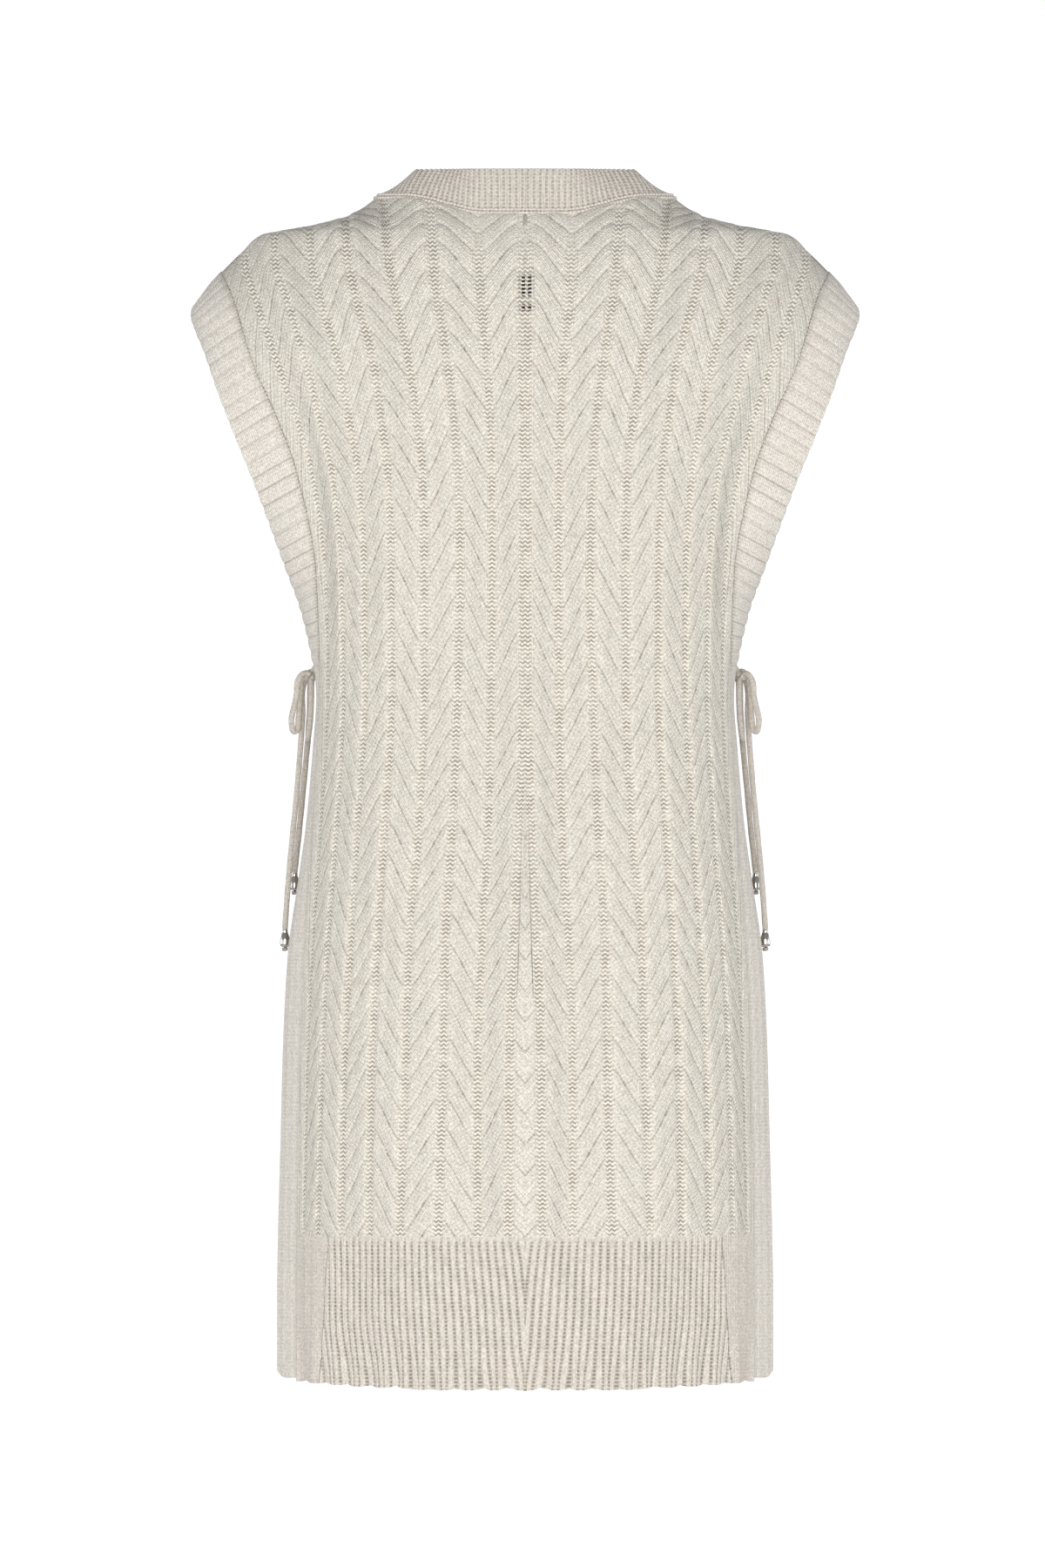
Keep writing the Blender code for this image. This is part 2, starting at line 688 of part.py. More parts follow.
def neck_curve():
    """Points of the neck seam from the centre back over the neck point to the V, with normals."""
    points = []
    normals = []
    for share in np.sin(np.linspace(0.0, math.pi / 2.0, 90)):
        across = NECK_HALF_WIDTH * share
        height = neck_height(across, 1)
        points.append(cloth_point(across, height, 1))
        normals.append(outward(across, height - NECK_NORMAL_DROP, 1))
    for share in np.cos(np.linspace(0.0, math.pi / 2.0, 160))[1:]:
        across = NECK_HALF_WIDTH * share
        height = neck_height(across, -1)
        points.append(cloth_point(across, height, -1))
        normals.append(outward(across, height - NECK_NORMAL_DROP, -1))
    return np.array(points), np.array(normals)


def neckband(name, collection, look):
    """1x1 rib strip that stands on the neck seam, mitred where its ends meet at the V."""
    points, normals = neck_curve()
    steps = np.linalg.norm(np.diff(points, axis=0), axis=1)
    length = np.concatenate(([0.0], np.cumsum(steps)))
    tangents = np.gradient(points, length, axis=0)
    total = length[-1]
    count = int(total / NECKBAND_RIB_PITCH) * 2
    stations = []
    for number in range(count):
        along = total * number / count
        seam = np.array([np.interp(along, length, points[:, k]) for k in range(3)])
        normal = np.array([np.interp(along, length, normals[:, k]) for k in range(3)])
        tangent = np.array([np.interp(along, length, tangents[:, k]) for k in range(3)])
        rise = np.cross(normal, tangent)
        rise /= np.linalg.norm(rise)
        if rise[2] < 0.0:
            rise = -rise
        upright = np.array((0.0, NECKBAND_LEAN, 1.0))
        share = (max(seam[1], 0.0) / points[0, 1]) ** NECKBAND_TURN
        rise = rise * (1.0 - share) + upright * share
        rise /= np.linalg.norm(rise)
        out = np.cross(tangent, rise)
        out /= np.linalg.norm(out)
        if np.dot(out, normal) < 0.0:
            out = -out
        width = NECKBAND_WIDTH
        if rise[0] < 0.0:
            width = min(width, (seam[0] - SEAM_GAP / 2.0) / -rise[0])
        if width < MITRE_END:
            break
        stations.append((along, seam + rise * SEAM_GAP * 1.5, seam + rise * width, out))
    wall = Wall()
    outer = []
    inner = []
    last = len(stations) - 1
    for number in mirrored([float(k) for k in range(last + 1)]):
        along, seam, edge, out = stations[int(abs(number))]
        flip = np.array((-1.0 if number < 0.0 else 1.0, 1.0, 1.0))
        ridge = NECKBAND_RIB_RAISE if int(abs(number)) % 2 else 0.0
        if abs(number) == last:
            ridge = 0.0
        key = math.copysign(along, number)
        line = [(0, wall.add((seam + ridge * out) * flip)), (1, wall.add((edge + ridge * out) * flip))]
        outer.append((key, line))
        if int(abs(number)) % INNER_NECK_STEP == 0 or abs(number) == last:
            line = [(0, wall.add((seam - WALL * out) * flip)), (1, wall.add((edge - WALL * out) * flip))]
            inner.append((key, line))
    wall.sheet(outer)
    wall.sheet(inner)
    wall.rim(outer, inner)
    return wall.build(name, collection, look)


# ---------------------------------------------------------------- ties

def smooth_route(route, spacing):
    """Evenly spaced points of a smooth curve through hand-chosen points."""
    fine = []
    for i in range(len(route) - 1):
        before = Vector(route[max(i - 1, 0)])
        start = Vector(route[i])
        end = Vector(route[i + 1])
        after = Vector(route[min(i + 2, len(route) - 1)])
        for k in range(12):
            t = k / 12.0
            pull = (end - before) * 0.5
            push = (after - start) * 0.5
            fine.append(start * (1 + 2 * t) * (1 - t) ** 2 + end * t * t * (3 - 2 * t)
                        + pull * t * (1 - t) ** 2 - push * t * t * (1 - t))
    fine.append(Vector(route[-1]))
    length = [0.0]
    for one, other in zip(fine, fine[1:]):
        length.append(length[-1] + (other - one).length)
    count = max(int(round(length[-1] / spacing)), 2)
    wanted = np.linspace(0.0, length[-1], count + 1)
    return [Vector([float(np.interp(far, length, [point[k] for point in fine])) for k in range(3)])
            for far in wanted]


def on_knot(place):
    """Two points square over the knot towards a place: just clear of it, and a little farther."""
    way = Vector(place) - Vector(KNOT_CENTRE)
    size = math.sqrt(sum((part / radius) ** 2 for part, radius in zip(way, KNOT_RADII)))
    surface = Vector(KNOT_CENTRE) + way / size
    square = Vector([part / radius ** 2 for part, radius in zip(way, KNOT_RADII)]).normalized()
    return surface + square * TIE_GAP, surface + square * (TIE_GAP + KNOT_LEAVE)


def cord_points(route, kind):
    """Points along a cord, with its ends square to what holds them."""
    middle = [Vector(place) for place in route]
    first = []
    last = []
    if kind == "end":
        first = [middle.pop(0)]
    else:
        near, far = on_knot(middle.pop(0))
        first = [near]
        middle.insert(0, far)
    if kind != "tail":
        near, far = on_knot(middle.pop())
        last = [near]
        middle.append(far)
    return first + smooth_route(middle, CORD_SPACING[kind]) + last


def cord(name, points, sign, collection, look):
    """Round knitted cord along its points."""
    path = bpy.data.curves.new(name, "CURVE")
    path.dimensions = "3D"
    path.bevel_depth = CORD_DIAMETER / 2.0 * MM
    path.bevel_resolution = 2
    path.use_fill_caps = True
    line = path.splines.new("POLY")
    line.points.add(len(points) - 1)
    for point, place in zip(line.points, points):
        point.co = (place.x * sign * MM, place.y * MM, place.z * MM, 1.0)
    path.materials.append(look)
    item = bpy.data.objects.new(name, path)
    collection.objects.link(item)
    return item


def ball(name, centre, radii, collection, look, rings, segments):
    shape = bmesh.new()
    bmesh.ops.create_uvsphere(shape, u_segments=segments, v_segments=rings, radius=MM)
    mesh = bpy.data.meshes.new(name)
    shape.to_mesh(mesh)
    shape.free()
    mesh.materials.append(look)
    item = bpy.data.objects.new(name, mesh)
    item.scale = radii
    item.location = [value * MM for value in centre]
    collection.objects.link(item)
    return item


def bell(name, top, collection, look):
    """Turned teardrop end, hung by its narrow top."""
    mesh = bpy.data.meshes.new(name)
    points = [(radius * MM, 0.0, -drop * MM) for drop, radius in BELL_PROFILE]
    edges = [(i, i + 1) for i in range(len(points) - 1)]
    mesh.from_pydata(points, edges, [])
    mesh.materials.append(look)
    item = bpy.data.objects.new(name, mesh)
    item.location = [value * MM for value in top]
    turn = item.modifiers.new("turned", "SCREW")
    turn.steps = BELL_STEPS
    turn.render_steps = BELL_STEPS
    turn.use_merge_vertices = True
    turn.merge_threshold = 0.0001
    turn.use_normal_calculate = True
    collection.objects.link(item)
    return item


def tie(sign, collection, yarn, metal):
    """The bow at one side: knot, two short ends on the bands, two loops and two belled tails."""
    label = "tie_left" if sign > 0 else "tie_right"
    centre = (KNOT_CENTRE[0] * sign, KNOT_CENTRE[1], KNOT_CENTRE[2])
    ball(label + "_knot", centre, KNOT_RADII, collection, yarn, 7, 10)
    for piece, route in CORD_ROUTES.items():
        points = cord_points(route, piece.split("_")[0])
        cord(label + "_" + piece, points, sign, collection, yarn)
    for which in ("back", "front"):
        end = CORD_ROUTES["tail_" + which][-1]
        top = (end[0] * sign, end[1], end[2] - TIE_GAP)
        bell("bell_" + label[4:] + "_" + which, top, collection, metal)
        foot = (top[0], top[1], top[2] - BELL_PROFILE[-1][0] - TIE_GAP - BELL_KNOT_RADII[2])
        ball("bell_knot_" + label[4:] + "_" + which, foot, BELL_KNOT_RADII, collection, yarn, 5, 8)


def main():
    clear_scene()
    garment = bpy.data.collections.new("tunic")
    bpy.context.scene.collection.children.link(garment)
    wool = material("cable_knit_wool", WOOL, 0.9, 0.0)
    rib = material("rib_knit_wool", WOOL_BAND, 0.9, 0.0)
    yarn = material("knitted_cord", WOOL_BAND, 0.85, 0.0)
    metal = material("polished_nickel", SILVER, 0.25, 1.0)
    panel("back_panel", 1, garment, wool)
    panel("front_panel", -1, garment, wool)
    hem_rib("back_hem_rib", 1, garment, rib)
    hem_rib("front_hem_rib", -1, garment, rib)
    neckband("neckband", garment, rib)
    side_band("side_band_left", 1, garment, rib)
    side_band("side_band_right", -1, garment, rib)
    tie(1, garment, yarn, metal)
    tie(-1, garment, yarn, metal)


main()
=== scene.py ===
"""Sleeveless cable-knit tunic with a V neck and side ties, dressed in its knit.

The front faces -Y, up is +Z, and the origin lies between the points where the shoulders meet
the neck. Lengths in the tables are millimetres, and MM turns them into metres.
"""
import math

import bmesh
import bpy
import numpy as np
from bpy.props import FloatProperty, FloatVectorProperty, IntProperty, PointerProperty
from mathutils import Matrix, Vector


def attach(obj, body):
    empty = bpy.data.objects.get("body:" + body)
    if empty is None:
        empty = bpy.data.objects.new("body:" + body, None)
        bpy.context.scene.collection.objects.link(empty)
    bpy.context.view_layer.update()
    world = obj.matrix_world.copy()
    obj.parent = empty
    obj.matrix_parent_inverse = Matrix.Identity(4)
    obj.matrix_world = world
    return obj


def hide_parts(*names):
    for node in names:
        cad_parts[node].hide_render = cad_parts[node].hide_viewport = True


bl_info = {
    "name": "Cable-knit tunic",
    "version": (1, 0, 0),
    "blender": (4, 5, 0),
    "location": "View3D > Sidebar > Tunic",
    "description": "Knits the panels, ribs, bands and ties of a sleeveless cable-knit tunic",
    "category": "Object",
}

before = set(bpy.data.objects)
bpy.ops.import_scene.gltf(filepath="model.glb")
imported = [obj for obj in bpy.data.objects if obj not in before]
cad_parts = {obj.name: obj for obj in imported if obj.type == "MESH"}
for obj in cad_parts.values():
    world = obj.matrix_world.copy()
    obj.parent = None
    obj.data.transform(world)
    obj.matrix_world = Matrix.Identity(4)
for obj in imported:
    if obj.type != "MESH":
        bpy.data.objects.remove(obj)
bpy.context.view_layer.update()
MM = 0.001

# ---- heights from the neck point
HEM_SEAM_HEIGHT = -690.0
HEM_CENTRE_HEIGHT = -792.2
HEM_SIDE_RISE = 4.6         # of the lobes, from the centre to the first notch below
HEM_SIDE_HEIGHT = -785.0
HEM_RIB_REACH = 128.0       # outside it the hem is smooth, but for two faint ribs
HEM_FAINT_RIBS = (139.5, 145.0)
HEM_LEAN = 11.5             # how far the middle ribs lean to the centre at the edge, within the span
HEM_LEAN_SPAN = 70.0
HEM_FLARE = 4.5             # how far the outer ribs lean
HEM_RIDGE_SHARE = 0.70      # part of the pitch that a rib's ridge fills
HEM_ROWS = 46
NECK_HALF_WIDTH = 97.0
NECK_POINT_HEIGHT = 2.0
BACK_NECK_DROP = 10.2
V_POINT_HEIGHT = -224.0
V_BOW = 1.10
NECKBAND_WIDTH = 26.5
NECKBAND_TOP = 19.3         # height of the band's edge along the back
NECKBAND_FALL = 0.65        # how much flatter the band lies where it passes over the shoulder
NECKBAND_LEAN = -0.12
NECKBAND_TURN = 3.0
NECKBAND_ROWS = 16
NECK_NORMAL_DROP = 1.5      # under the seam, where the cloth's direction is taken
CHAIN_STITCH = 2.6          # length of one chain stitch on the neck seam
CHAIN_AROUND = 8
SHOULDER_SEAM_HEIGHT = -48.0
BAND_RIB_END_HEIGHT = -316.0
BAND_CORNER_DROP = 6.0
BAND_COLUMNS = 19
BAND_STEP = 1.5             # spacing of the band's rows
BAND_RIDGE_SHARE = 0.93
BAND_STITCHES = 11.0        # columns of stitches across the band

# ---- knit pattern
REPEAT_BELOW = 20.4         # one cable crossing to the next, under the waist
REPEAT_ABOVE = 22.3         # and above it
REPEAT_CHANGE_HEIGHT = -380.0
REPEAT_CHANGE_SPAN = 60.0
STRAND_CLIMB = 1.67         # repeats that a strand climbs on its way across the cable
STRAND_WALES = 4.0          # columns of stitches in a strand
STRAND_ROWS = 7.4           # stitches along a strand for a repeat, and for its way across
STRAND_ROWS_ACROSS = 4.6
ROWS_IN_REPEAT = 8.6        # rows of the smooth strip beside the seam
CENTRE_SLOPE = 0.62         # repeats that the chevrons of the centre column fall to each side
SHARED_REPEATS = 34.5       # repeats that every column counts in step, up to the share FIT_FROM
FIT_FROM = 0.80
NECK_CROWD = 0.42           # how much the repeats crowd under the neckband, within the span
NECK_CROWD_SPAN = 34.0
STITCH_WIDTH = 2.7
STITCH_HEIGHT = 2.5
PURL_WIDTH = 3.5            # of one zigzag in a purl stripe
PURL_HEIGHT = 2.85          # of one row in a purl stripe
CORD_STITCH = 1.7           # height of a stitch on a tie
CORD_WALES = 6.0            # columns of stitches round a tie
INSIDE_PLACE = (2.25, 0.31)  # one place on the crest of a stitch, for faces without a pattern

# ---- the ladder of holes under the collar, on the back
LADDER_ROWS = ((-67.0, -52.0), (-76.0, -71.0))
LADDER_REACH = 12.0         # distance from the centre
LADDER_SHIFT = 0.9          # its columns stand a little to one side
LADDER_NEAR = 2.05          # from its own middle to a column of open holes
LADDER_FAR = 5.0            # and to a column of faint ones
# Painted shade of the open holes: the cloth is not cut, and this near-black colour stands for the shade seen
# through them.
LADDER_HOLE_SHADE = (0.012, 0.010, 0.008)

# ---- the body's sections: a row for each height
SECTION_NAMES = ("height", "half_width", "back_depth", "front_depth", "edge", "flat", "turn")
SECTIONS = (
    (2.0, 97.0, 46.0, 42.0, 0.0, 2.2, 2.0),
    (-7.0, 109.0, 55.0, 50.0, 0.0, 2.2, 2.0),
    (-13.0, 122.0, 60.0, 55.0, 0.0, 2.2, 2.0),
    (-19.0, 148.0, 64.0, 59.0, 0.0, 2.2, 2.0),
    (-24.0, 175.0, 67.0, 62.0, 0.0, 2.2, 2.0),
    (-36.0, 189.0, 74.0, 69.0, 0.0, 2.2, 2.0),
    (-48.0, 201.0, 79.0, 75.0, 0.0, 2.2, 2.0),
    (-61.0, 213.0, 84.0, 80.0, 0.0, 2.2, 2.0),
    (-71.0, 220.5, 87.0, 84.0, 1.5, 2.2, 2.0),
    (-73.0, 221.3, 87.6, 84.7, 3.0, 2.2, 2.0),
    (-78.0, 222.0, 88.9, 86.7, 8.5, 2.2, 1.95),
    (-88.0, 219.0, 91.3, 90.6, 21.5, 2.27, 1.75),
    (-100.0, 214.0, 94.0, 95.0, 35.0, 2.35, 1.55),
    (-129.0, 204.0, 98.0, 102.0, 52.0, 2.4, 1.2),
    (-158.0, 193.0, 100.0, 107.0, 60.0, 2.5, 1.05),
    (-187.0, 181.0, 100.0, 110.0, 62.5, 2.6, 1.1),
    (-216.0, 170.0, 98.0, 109.0, 58.0, 2.8, 1.25),
    (-245.0, 159.5, 95.0, 106.0, 46.0, 3.0, 1.45),
    (-274.0, 149.0, 91.5, 101.0, 28.0, 3.0, 1.8),
    (-303.0, 142.0, 89.5, 98.0, 10.5, 3.0, 2.5),
    (-316.0, 139.5, 89.0, 97.0, 7.0, 3.0, 2.8),
    (-332.0, 138.5, 89.5, 96.5, 7.0, 3.0, 2.8),
    (-367.0, 141.0, 92.0, 97.5, 8.0, 3.0, 2.4),
    (-419.0, 146.0, 96.5, 100.0, 10.0, 3.0, 2.0),
    (-448.0, 150.0, 99.0, 102.0, 11.5, 3.1, 1.6),
    (-506.0, 158.0, 104.0, 105.0, 13.5, 3.3, 1.2),
    (-564.0, 161.0, 108.0, 108.0, 15.5, 3.4, 1.12),
    (-622.0, 162.5, 111.0, 110.5, 17.5, 3.5, 1.06),
    (-690.0, 164.3, 113.5, 112.5, 19.5, 3.5, 1.02),
    (-738.0, 165.0, 115.5, 114.0, 21.0, 3.5, 1.0),
    (-800.0, 165.0, 117.0, 115.0, 22.0, 3.5, 1.0),
)

# ---- distance from the centre line to each purl stripe, and to the seam of the side band
STRIPE_NAMES = ("height", "s0", "s1", "s2", "s3", "s4", "s5", "s6", "s7", "seam")
STRIPES = (
    (2.0, 1.5, 31.5, 63.0, 95.0, 120.0, 143.5, 166.5, 186.5, 205.0),
    (-42.0, 1.5, 30.7, 60.9, 91.1, 117.7, 142.1, 166.0, 186.0, 204.0),
    (-65.0, 1.5, 29.6, 58.6, 86.5, 112.5, 137.0, 159.5, 179.5, 195.0),
    (-111.0, 1.5, 25.2, 51.6, 77.1, 100.3, 123.5, 145.0, 163.5, 180.5),
    (-150.0, 1.5, 23.0, 47.0, 71.5, 95.0, 116.5, 136.0, 150.5, 163.5),
    (-181.0, 1.5, 22.2, 44.7, 67.9, 91.1, 110.8, 128.6, 141.6, 152.2),
    (-251.0, 1.5, 22.0, 43.0, 66.7, 88.7, 106.7, 122.0, 132.6, 138.8),
    (-320.0, 1.8, 22.4, 44.6, 66.7, 88.2, 106.1, 120.6, 131.0, 136.4),
    (-425.0, 4.9, 24.4, 48.7, 70.8, 93.4, 111.4, 125.1, 135.5, 141.3),
    (-494.0, 8.2, 28.4, 52.8, 77.1, 98.0, 115.4, 129.4, 139.6, 145.3),
    (-564.0, 10.7, 31.3, 53.9, 78.9, 102.1, 119.5, 132.8, 143.0, 148.4),
    (-690.0, 11.7, 31.3, 57.4, 83.0, 104.4, 122.0, 136.3, 146.0, 151.0),
)
SEAM_PLACE = 9.0            # the seam, counted from 1 at s0; under 1 lies the centre column
LAST_CABLE_PLACE = 8.0

# ---- how far the free edge of the side band lies under its seam, along a rib
BAND_DROPS = (
    (-48.0, 25.0),
    (-59.0, 21.5),
    (-81.0, 17.0),
    (-102.0, 16.0),
    (-150.0, 15.5),
    (-207.0, 12.5),
    (-255.0, 7.5),
    (-300.0, 1.0),
    (-316.0, 0.0),
    (-800.0, 0.0),
)

# ---- notches between the lobes of the hem edge: distance from the centre, depth and half width
HEM_NOTCHES = (
    (145.6, 2.0, 3.4),
    (132.2, 1.6, 3.2),
    (120.1, 1.6, 3.2),
    (104.4, 1.9, 3.8),
    (86.4, 2.4, 4.2),
    (75.4, 0.6, 2.6),
    (62.0, 0.9, 3.4),
    (45.2, 1.9, 3.8),
    (28.4, 2.0, 4.2),
    (11.0, 2.7, 5.0),
)

# ---- broad soft folds: distance from the centre and height of each end, width, depth, side
FOLDS = (
    ((58.0, -150.0), (92.0, -330.0), 26.0, 1.6, 1),
    ((-70.0, -130.0), (-96.0, -300.0), 30.0, -1.4, 1),
    ((30.0, -430.0), (44.0, -800.0), 34.0, 1.8, 1),
    ((-34.0, -470.0), (-52.0, -800.0), 30.0, 1.7, 1),
    ((92.0, -420.0), (112.0, -800.0), 22.0, -2.2, 1),
    ((-96.0, -440.0), (-108.0, -800.0), 24.0, -2.0, 1),
    ((130.0, -360.0), (139.0, -800.0), 15.0, 2.0, 1),
    ((-131.0, -380.0), (-140.0, -800.0), 16.0, 2.2, 1),
    ((84.0, -120.0), (50.0, -360.0), 30.0, 2.2, -1),
    ((-80.0, -140.0), (-60.0, -340.0), 28.0, 2.0, -1),
    ((24.0, -300.0), (36.0, -800.0), 30.0, -2.2, -1),
    ((-42.0, -340.0), (-46.0, -800.0), 32.0, 2.4, -1),
    ((100.0, -400.0), (112.0, -800.0), 24.0, 2.2, -1),
    ((-104.0, -420.0), (-116.0, -800.0), 22.0, -2.0, -1),
)

# ---- ties, given on the left side and mirrored for the right
CORD_DIAMETER = 3.9
KNOT_CENTRE = (143.0, 0.0, -317.5)
KNOT_RADII = (4.6, 6.4, 4.6)
CORD_ROUTES = {
    "back": (
        (138.8, 6.6, -310.6), (138.8, 5.4, -310.6), (140.6, 3.0, -313.8), (143.0, 0.6, -317.0),
        (148.0, 4.2, -316.4), (151.6, 6.2, -322.0), (152.2, 6.4, -330.0), (153.8, 6.6, -338.0),
        (155.6, 6.4, -347.0), (154.6, 4.2, -354.6), (151.8, 1.8, -353.4), (150.9, 0.6, -346.0),
        (150.3, 0.2, -337.0), (149.8, 0.2, -328.0), (148.6, 0.4, -319.9), (144.4, -0.6, -317.2),
        (147.0, -4.3, -321.4), (148.4, -5.6, -330.0), (148.3, -4.6, -345.0), (149.4, -3.2, -362.0),
        (152.0, -0.8, -395.0), (155.0, 0.4, -425.0), (157.8, 1.0, -456.0), (160.0, 1.0, -486.5),
    ),
    "front": (
        (138.8, -6.6, -310.6), (138.8, -5.4, -310.6), (140.6, -3.0, -313.8), (142.8, 0.0, -317.0),
        (142.4, 4.9, -322.4), (142.4, 6.4, -330.0), (142.6, 6.6, -341.0), (143.6, 5.6, -352.0),
        (144.6, 2.6, -359.8), (144.3, -0.2, -353.0), (143.6, -0.8, -342.0), (143.3, 0.0, -331.0),
        (143.3, 0.2, -323.0), (143.0, -1.0, -318.0), (142.3, -4.7, -322.4), (143.0, -6.0, -331.0),
        (143.4, -6.6, -345.0), (145.6, -7.0, -370.0), (148.0, -7.2, -395.0), (150.4, -7.2, -420.0),
        (153.6, -7.0, -449.0),
    ),
}
BELL_PROFILE = (
    (0.0, 0.0), (0.0, 1.3), (0.35, 1.9), (0.9, 2.1), (1.5, 1.95), (2.1, 2.05), (3.4, 2.5), (5.2, 3.05),
    (7.0, 3.5), (8.6, 3.72), (9.8, 3.7), (10.7, 3.4), (11.35, 2.8), (11.7, 2.0), (11.8, 1.0), (11.8, 0.0),
)
BELL_LENGTH = 11.8


# ---------------------------------------------------------------- settings

class KnitSettings(bpy.types.PropertyGroup):
    wall: FloatProperty(name="Cloth", description="Thickness of the cloth in millimetres",
                        default=1.8, min=0.5)
    cable_raise: FloatProperty(name="Cable height", description="Crest of a cable in millimetres",
                               default=2.5, min=0.0)
    rib_raise: FloatProperty(name="Rib height", description="Crest of a rib in millimetres",
                             default=1.15, min=0.0)
    hem_rib_pitch: FloatProperty(name="Hem rib", description="One rib to the next in millimetres",
                                 default=4.95, min=1.0)
    neck_rib_pitch: FloatProperty(name="Neckband rib", description="One rib to the next in millimetres",
                                  default=4.1, min=1.0)
    band_rib_pitch: FloatProperty(name="Armhole rib", description="One rib to the next in millimetres",
                                  default=10.5, min=1.0)
    grid: FloatProperty(name="Grid", description="Spacing of the panels' points in millimetres",
                        default=1.75, min=0.8)
    wool: FloatVectorProperty(name="Wool", description="Colour of the yarn", subtype="COLOR", size=3,
                              default=(0.92, 0.87, 0.77), min=0.0, max=1.0)
    rib_wool: FloatVectorProperty(name="Rib", description="Colour of the ribs", subtype="COLOR", size=3,
                                  default=(0.785, 0.725, 0.65), min=0.0, max=1.0)
    band_tint: FloatVectorProperty(name="Side band tint",
                                   description="Colour of the side bands as a share of the ribs' colour",
                                   subtype="COLOR", size=3, default=(1.08, 1.095, 1.10), min=0.0, max=2.0)
    # Painted shade: the dark colour that gaps, creases and furrows between the stitches are mixed towards, in
    # place of the shade that falls in them.
    hollow_shade: FloatVectorProperty(name="Hollows", description="Colour between the stitches",
                                subtype="COLOR", size=3, default=(0.13, 0.105, 0.07), min=0.0, max=1.0)


class TieSettings(bpy.types.PropertyGroup):
    rings: IntProperty(name="Rings", description="Points round a cord", default=14, min=8)
    step: FloatProperty(name="Step", description="Spacing of a cord's rings in metres",
                        default=0.0011, min=0.0004, unit="LENGTH")
    bell_steps: IntProperty(name="Bell", description="Points round a bell end", default=48, min=12)
    nickel: FloatVectorProperty(name="Nickel", description="Colour of the bell ends", subtype="COLOR",
                                size=3, default=(0.60, 0.585, 0.56), min=0.0, max=1.0)


class StageSettings(bpy.types.PropertyGroup):
    distance: FloatProperty(name="Distance", description="Camera to the garment", default=24.0,
                            unit="LENGTH")
    frame_height: FloatProperty(name="Frame", description="Height of the picture at the garment",
                                default=1.044, unit="LENGTH")
    middle: FloatVectorProperty(name="Middle", description="Centre of the picture", size=3,
                                default=(0.00174, 0.0, -0.3898), subtype="TRANSLATION")
    floor: FloatProperty(name="Floor", description="Height of the floor", default=-1.25, unit="LENGTH")
    sky: FloatProperty(name="Room light", description="Brightness of the room at eye level",
                       default=1.14, min=0.0)
    key: FloatProperty(name="Front light", description="Power of the light beside the camera",
                       default=44.0, unit="POWER")
    side: FloatProperty(name="Side lights", description="Power of each light at the side",
                        default=3.0, unit="POWER")


# ---------------------------------------------------------------- the form of the cloth

def smooth_through(places, values):
    """A function that runs smoothly through a table's rows and never overshoots them."""
    order = np.argsort(places)
    x = np.array(places, dtype=float)[order]
    y = np.array(values, dtype=float)[order]
    step = np.diff(x)
    slope = np.diff(y) / step
    tangent = np.zeros_like(y)
    tangent[0] = slope[0]
    tangent[-1] = slope[-1]
    for i in range(1, len(y) - 1):
        if slope[i - 1] * slope[i] > 0.0:
            before = 2.0 * step[i] + step[i - 1]
            after = step[i] + 2.0 * step[i - 1]
            tangent[i] = (before + after) / (before / slope[i - 1] + after / slope[i])

    def value(place):
        at = np.clip(place, x[0], x[-1])
        i = np.clip(np.searchsorted(x, at) - 1, 0, len(step) - 1)
        t = (at - x[i]) / step[i]
        curve = y[i] + (y[i + 1] - y[i]) * t * t * (3.0 - 2.0 * t)
        bend = t * (1.0 - t) * ((1.0 - t) * tangent[i] - t * tangent[i + 1])
        return curve + step[i] * bend

    return value


def columns_of(names, rows):
    """One smooth function of height for each named column of a table."""
    heights = [row[0] for row in rows]
    table = {}
    for place, name in enumerate(names[1:], start=1):
        table[name] = smooth_through(heights, [row[place] for row in rows])
    return table


SECTION = columns_of(SECTION_NAMES, SECTIONS)
STRIPE = columns_of(STRIPE_NAMES, STRIPES)
DROP = columns_of(("height", "drop"), BAND_DROPS)["drop"]
SHOULDER_HEIGHTS = np.linspace(-73.0, 2.0, 301)
SHOULDER_WIDTHS = SECTION["half_width"](SHOULDER_HEIGHTS)


def shoulder_height(across):
    """Height of the shoulder line at a distance from the centre."""
    return np.interp(-np.abs(across), -SHOULDER_WIDTHS, SHOULDER_HEIGHTS)


def length_along(points):
    """Distance run at each point of a line."""
    return np.concatenate(([0.0], np.cumsum(np.linalg.norm(np.diff(points, axis=0), axis=1))))


def smooth_step(value, low, high):
    """0 under low, 1 over high, and smooth between them."""
    t = np.clip((value - low) / (high - low), 0.0, 1.0)
    return t * t * (3.0 - 2.0 * t)


def cloth_point(across, height, side):
    """Points on the cloth. side is 1 for the back and -1 for the front."""
    depth = SECTION["back_depth" if side > 0 else "front_depth"](height)
    edge = SECTION["edge"](height)
    reach = np.clip(np.abs(across) / SECTION["half_width"](height), 0.0, 1.0)
    rest = np.clip(1.0 - reach ** SECTION["flat"](height), 0.0, 1.0)
    far = edge + (depth - edge) * rest ** (1.0 / SECTION["turn"](height))
    return np.stack(np.broadcast_arrays(across, side * far, height), axis=-1)


def outward(across, height, side):
    """Directions that leave the cloth, from the neighbours along the section and up it."""
    reach = np.clip(np.abs(across) / SECTION["half_width"](height), 0.0, 1.0)
    angle = np.arcsin(reach ** (SECTION["flat"](height) / 2.0))
    sign = np.where(across < 0.0, -1.0, 1.0)

    def on_section(turn, at):
        share = np.sin(turn) ** (2.0 / SECTION["flat"](at))
        return cloth_point(sign * share * SECTION["half_width"](at), at, side)

    along = on_section(np.minimum(angle + 0.03, math.pi / 2.0), height)
    along = along - on_section(np.maximum(angle - 0.03, 0.0), height)
    upward = on_section(angle, height + 1.0) - on_section(angle, height - 1.0)
    normal = np.cross(upward, along) * (side * sign)[..., None]
    return normal / np.linalg.norm(normal, axis=-1, keepdims=True)


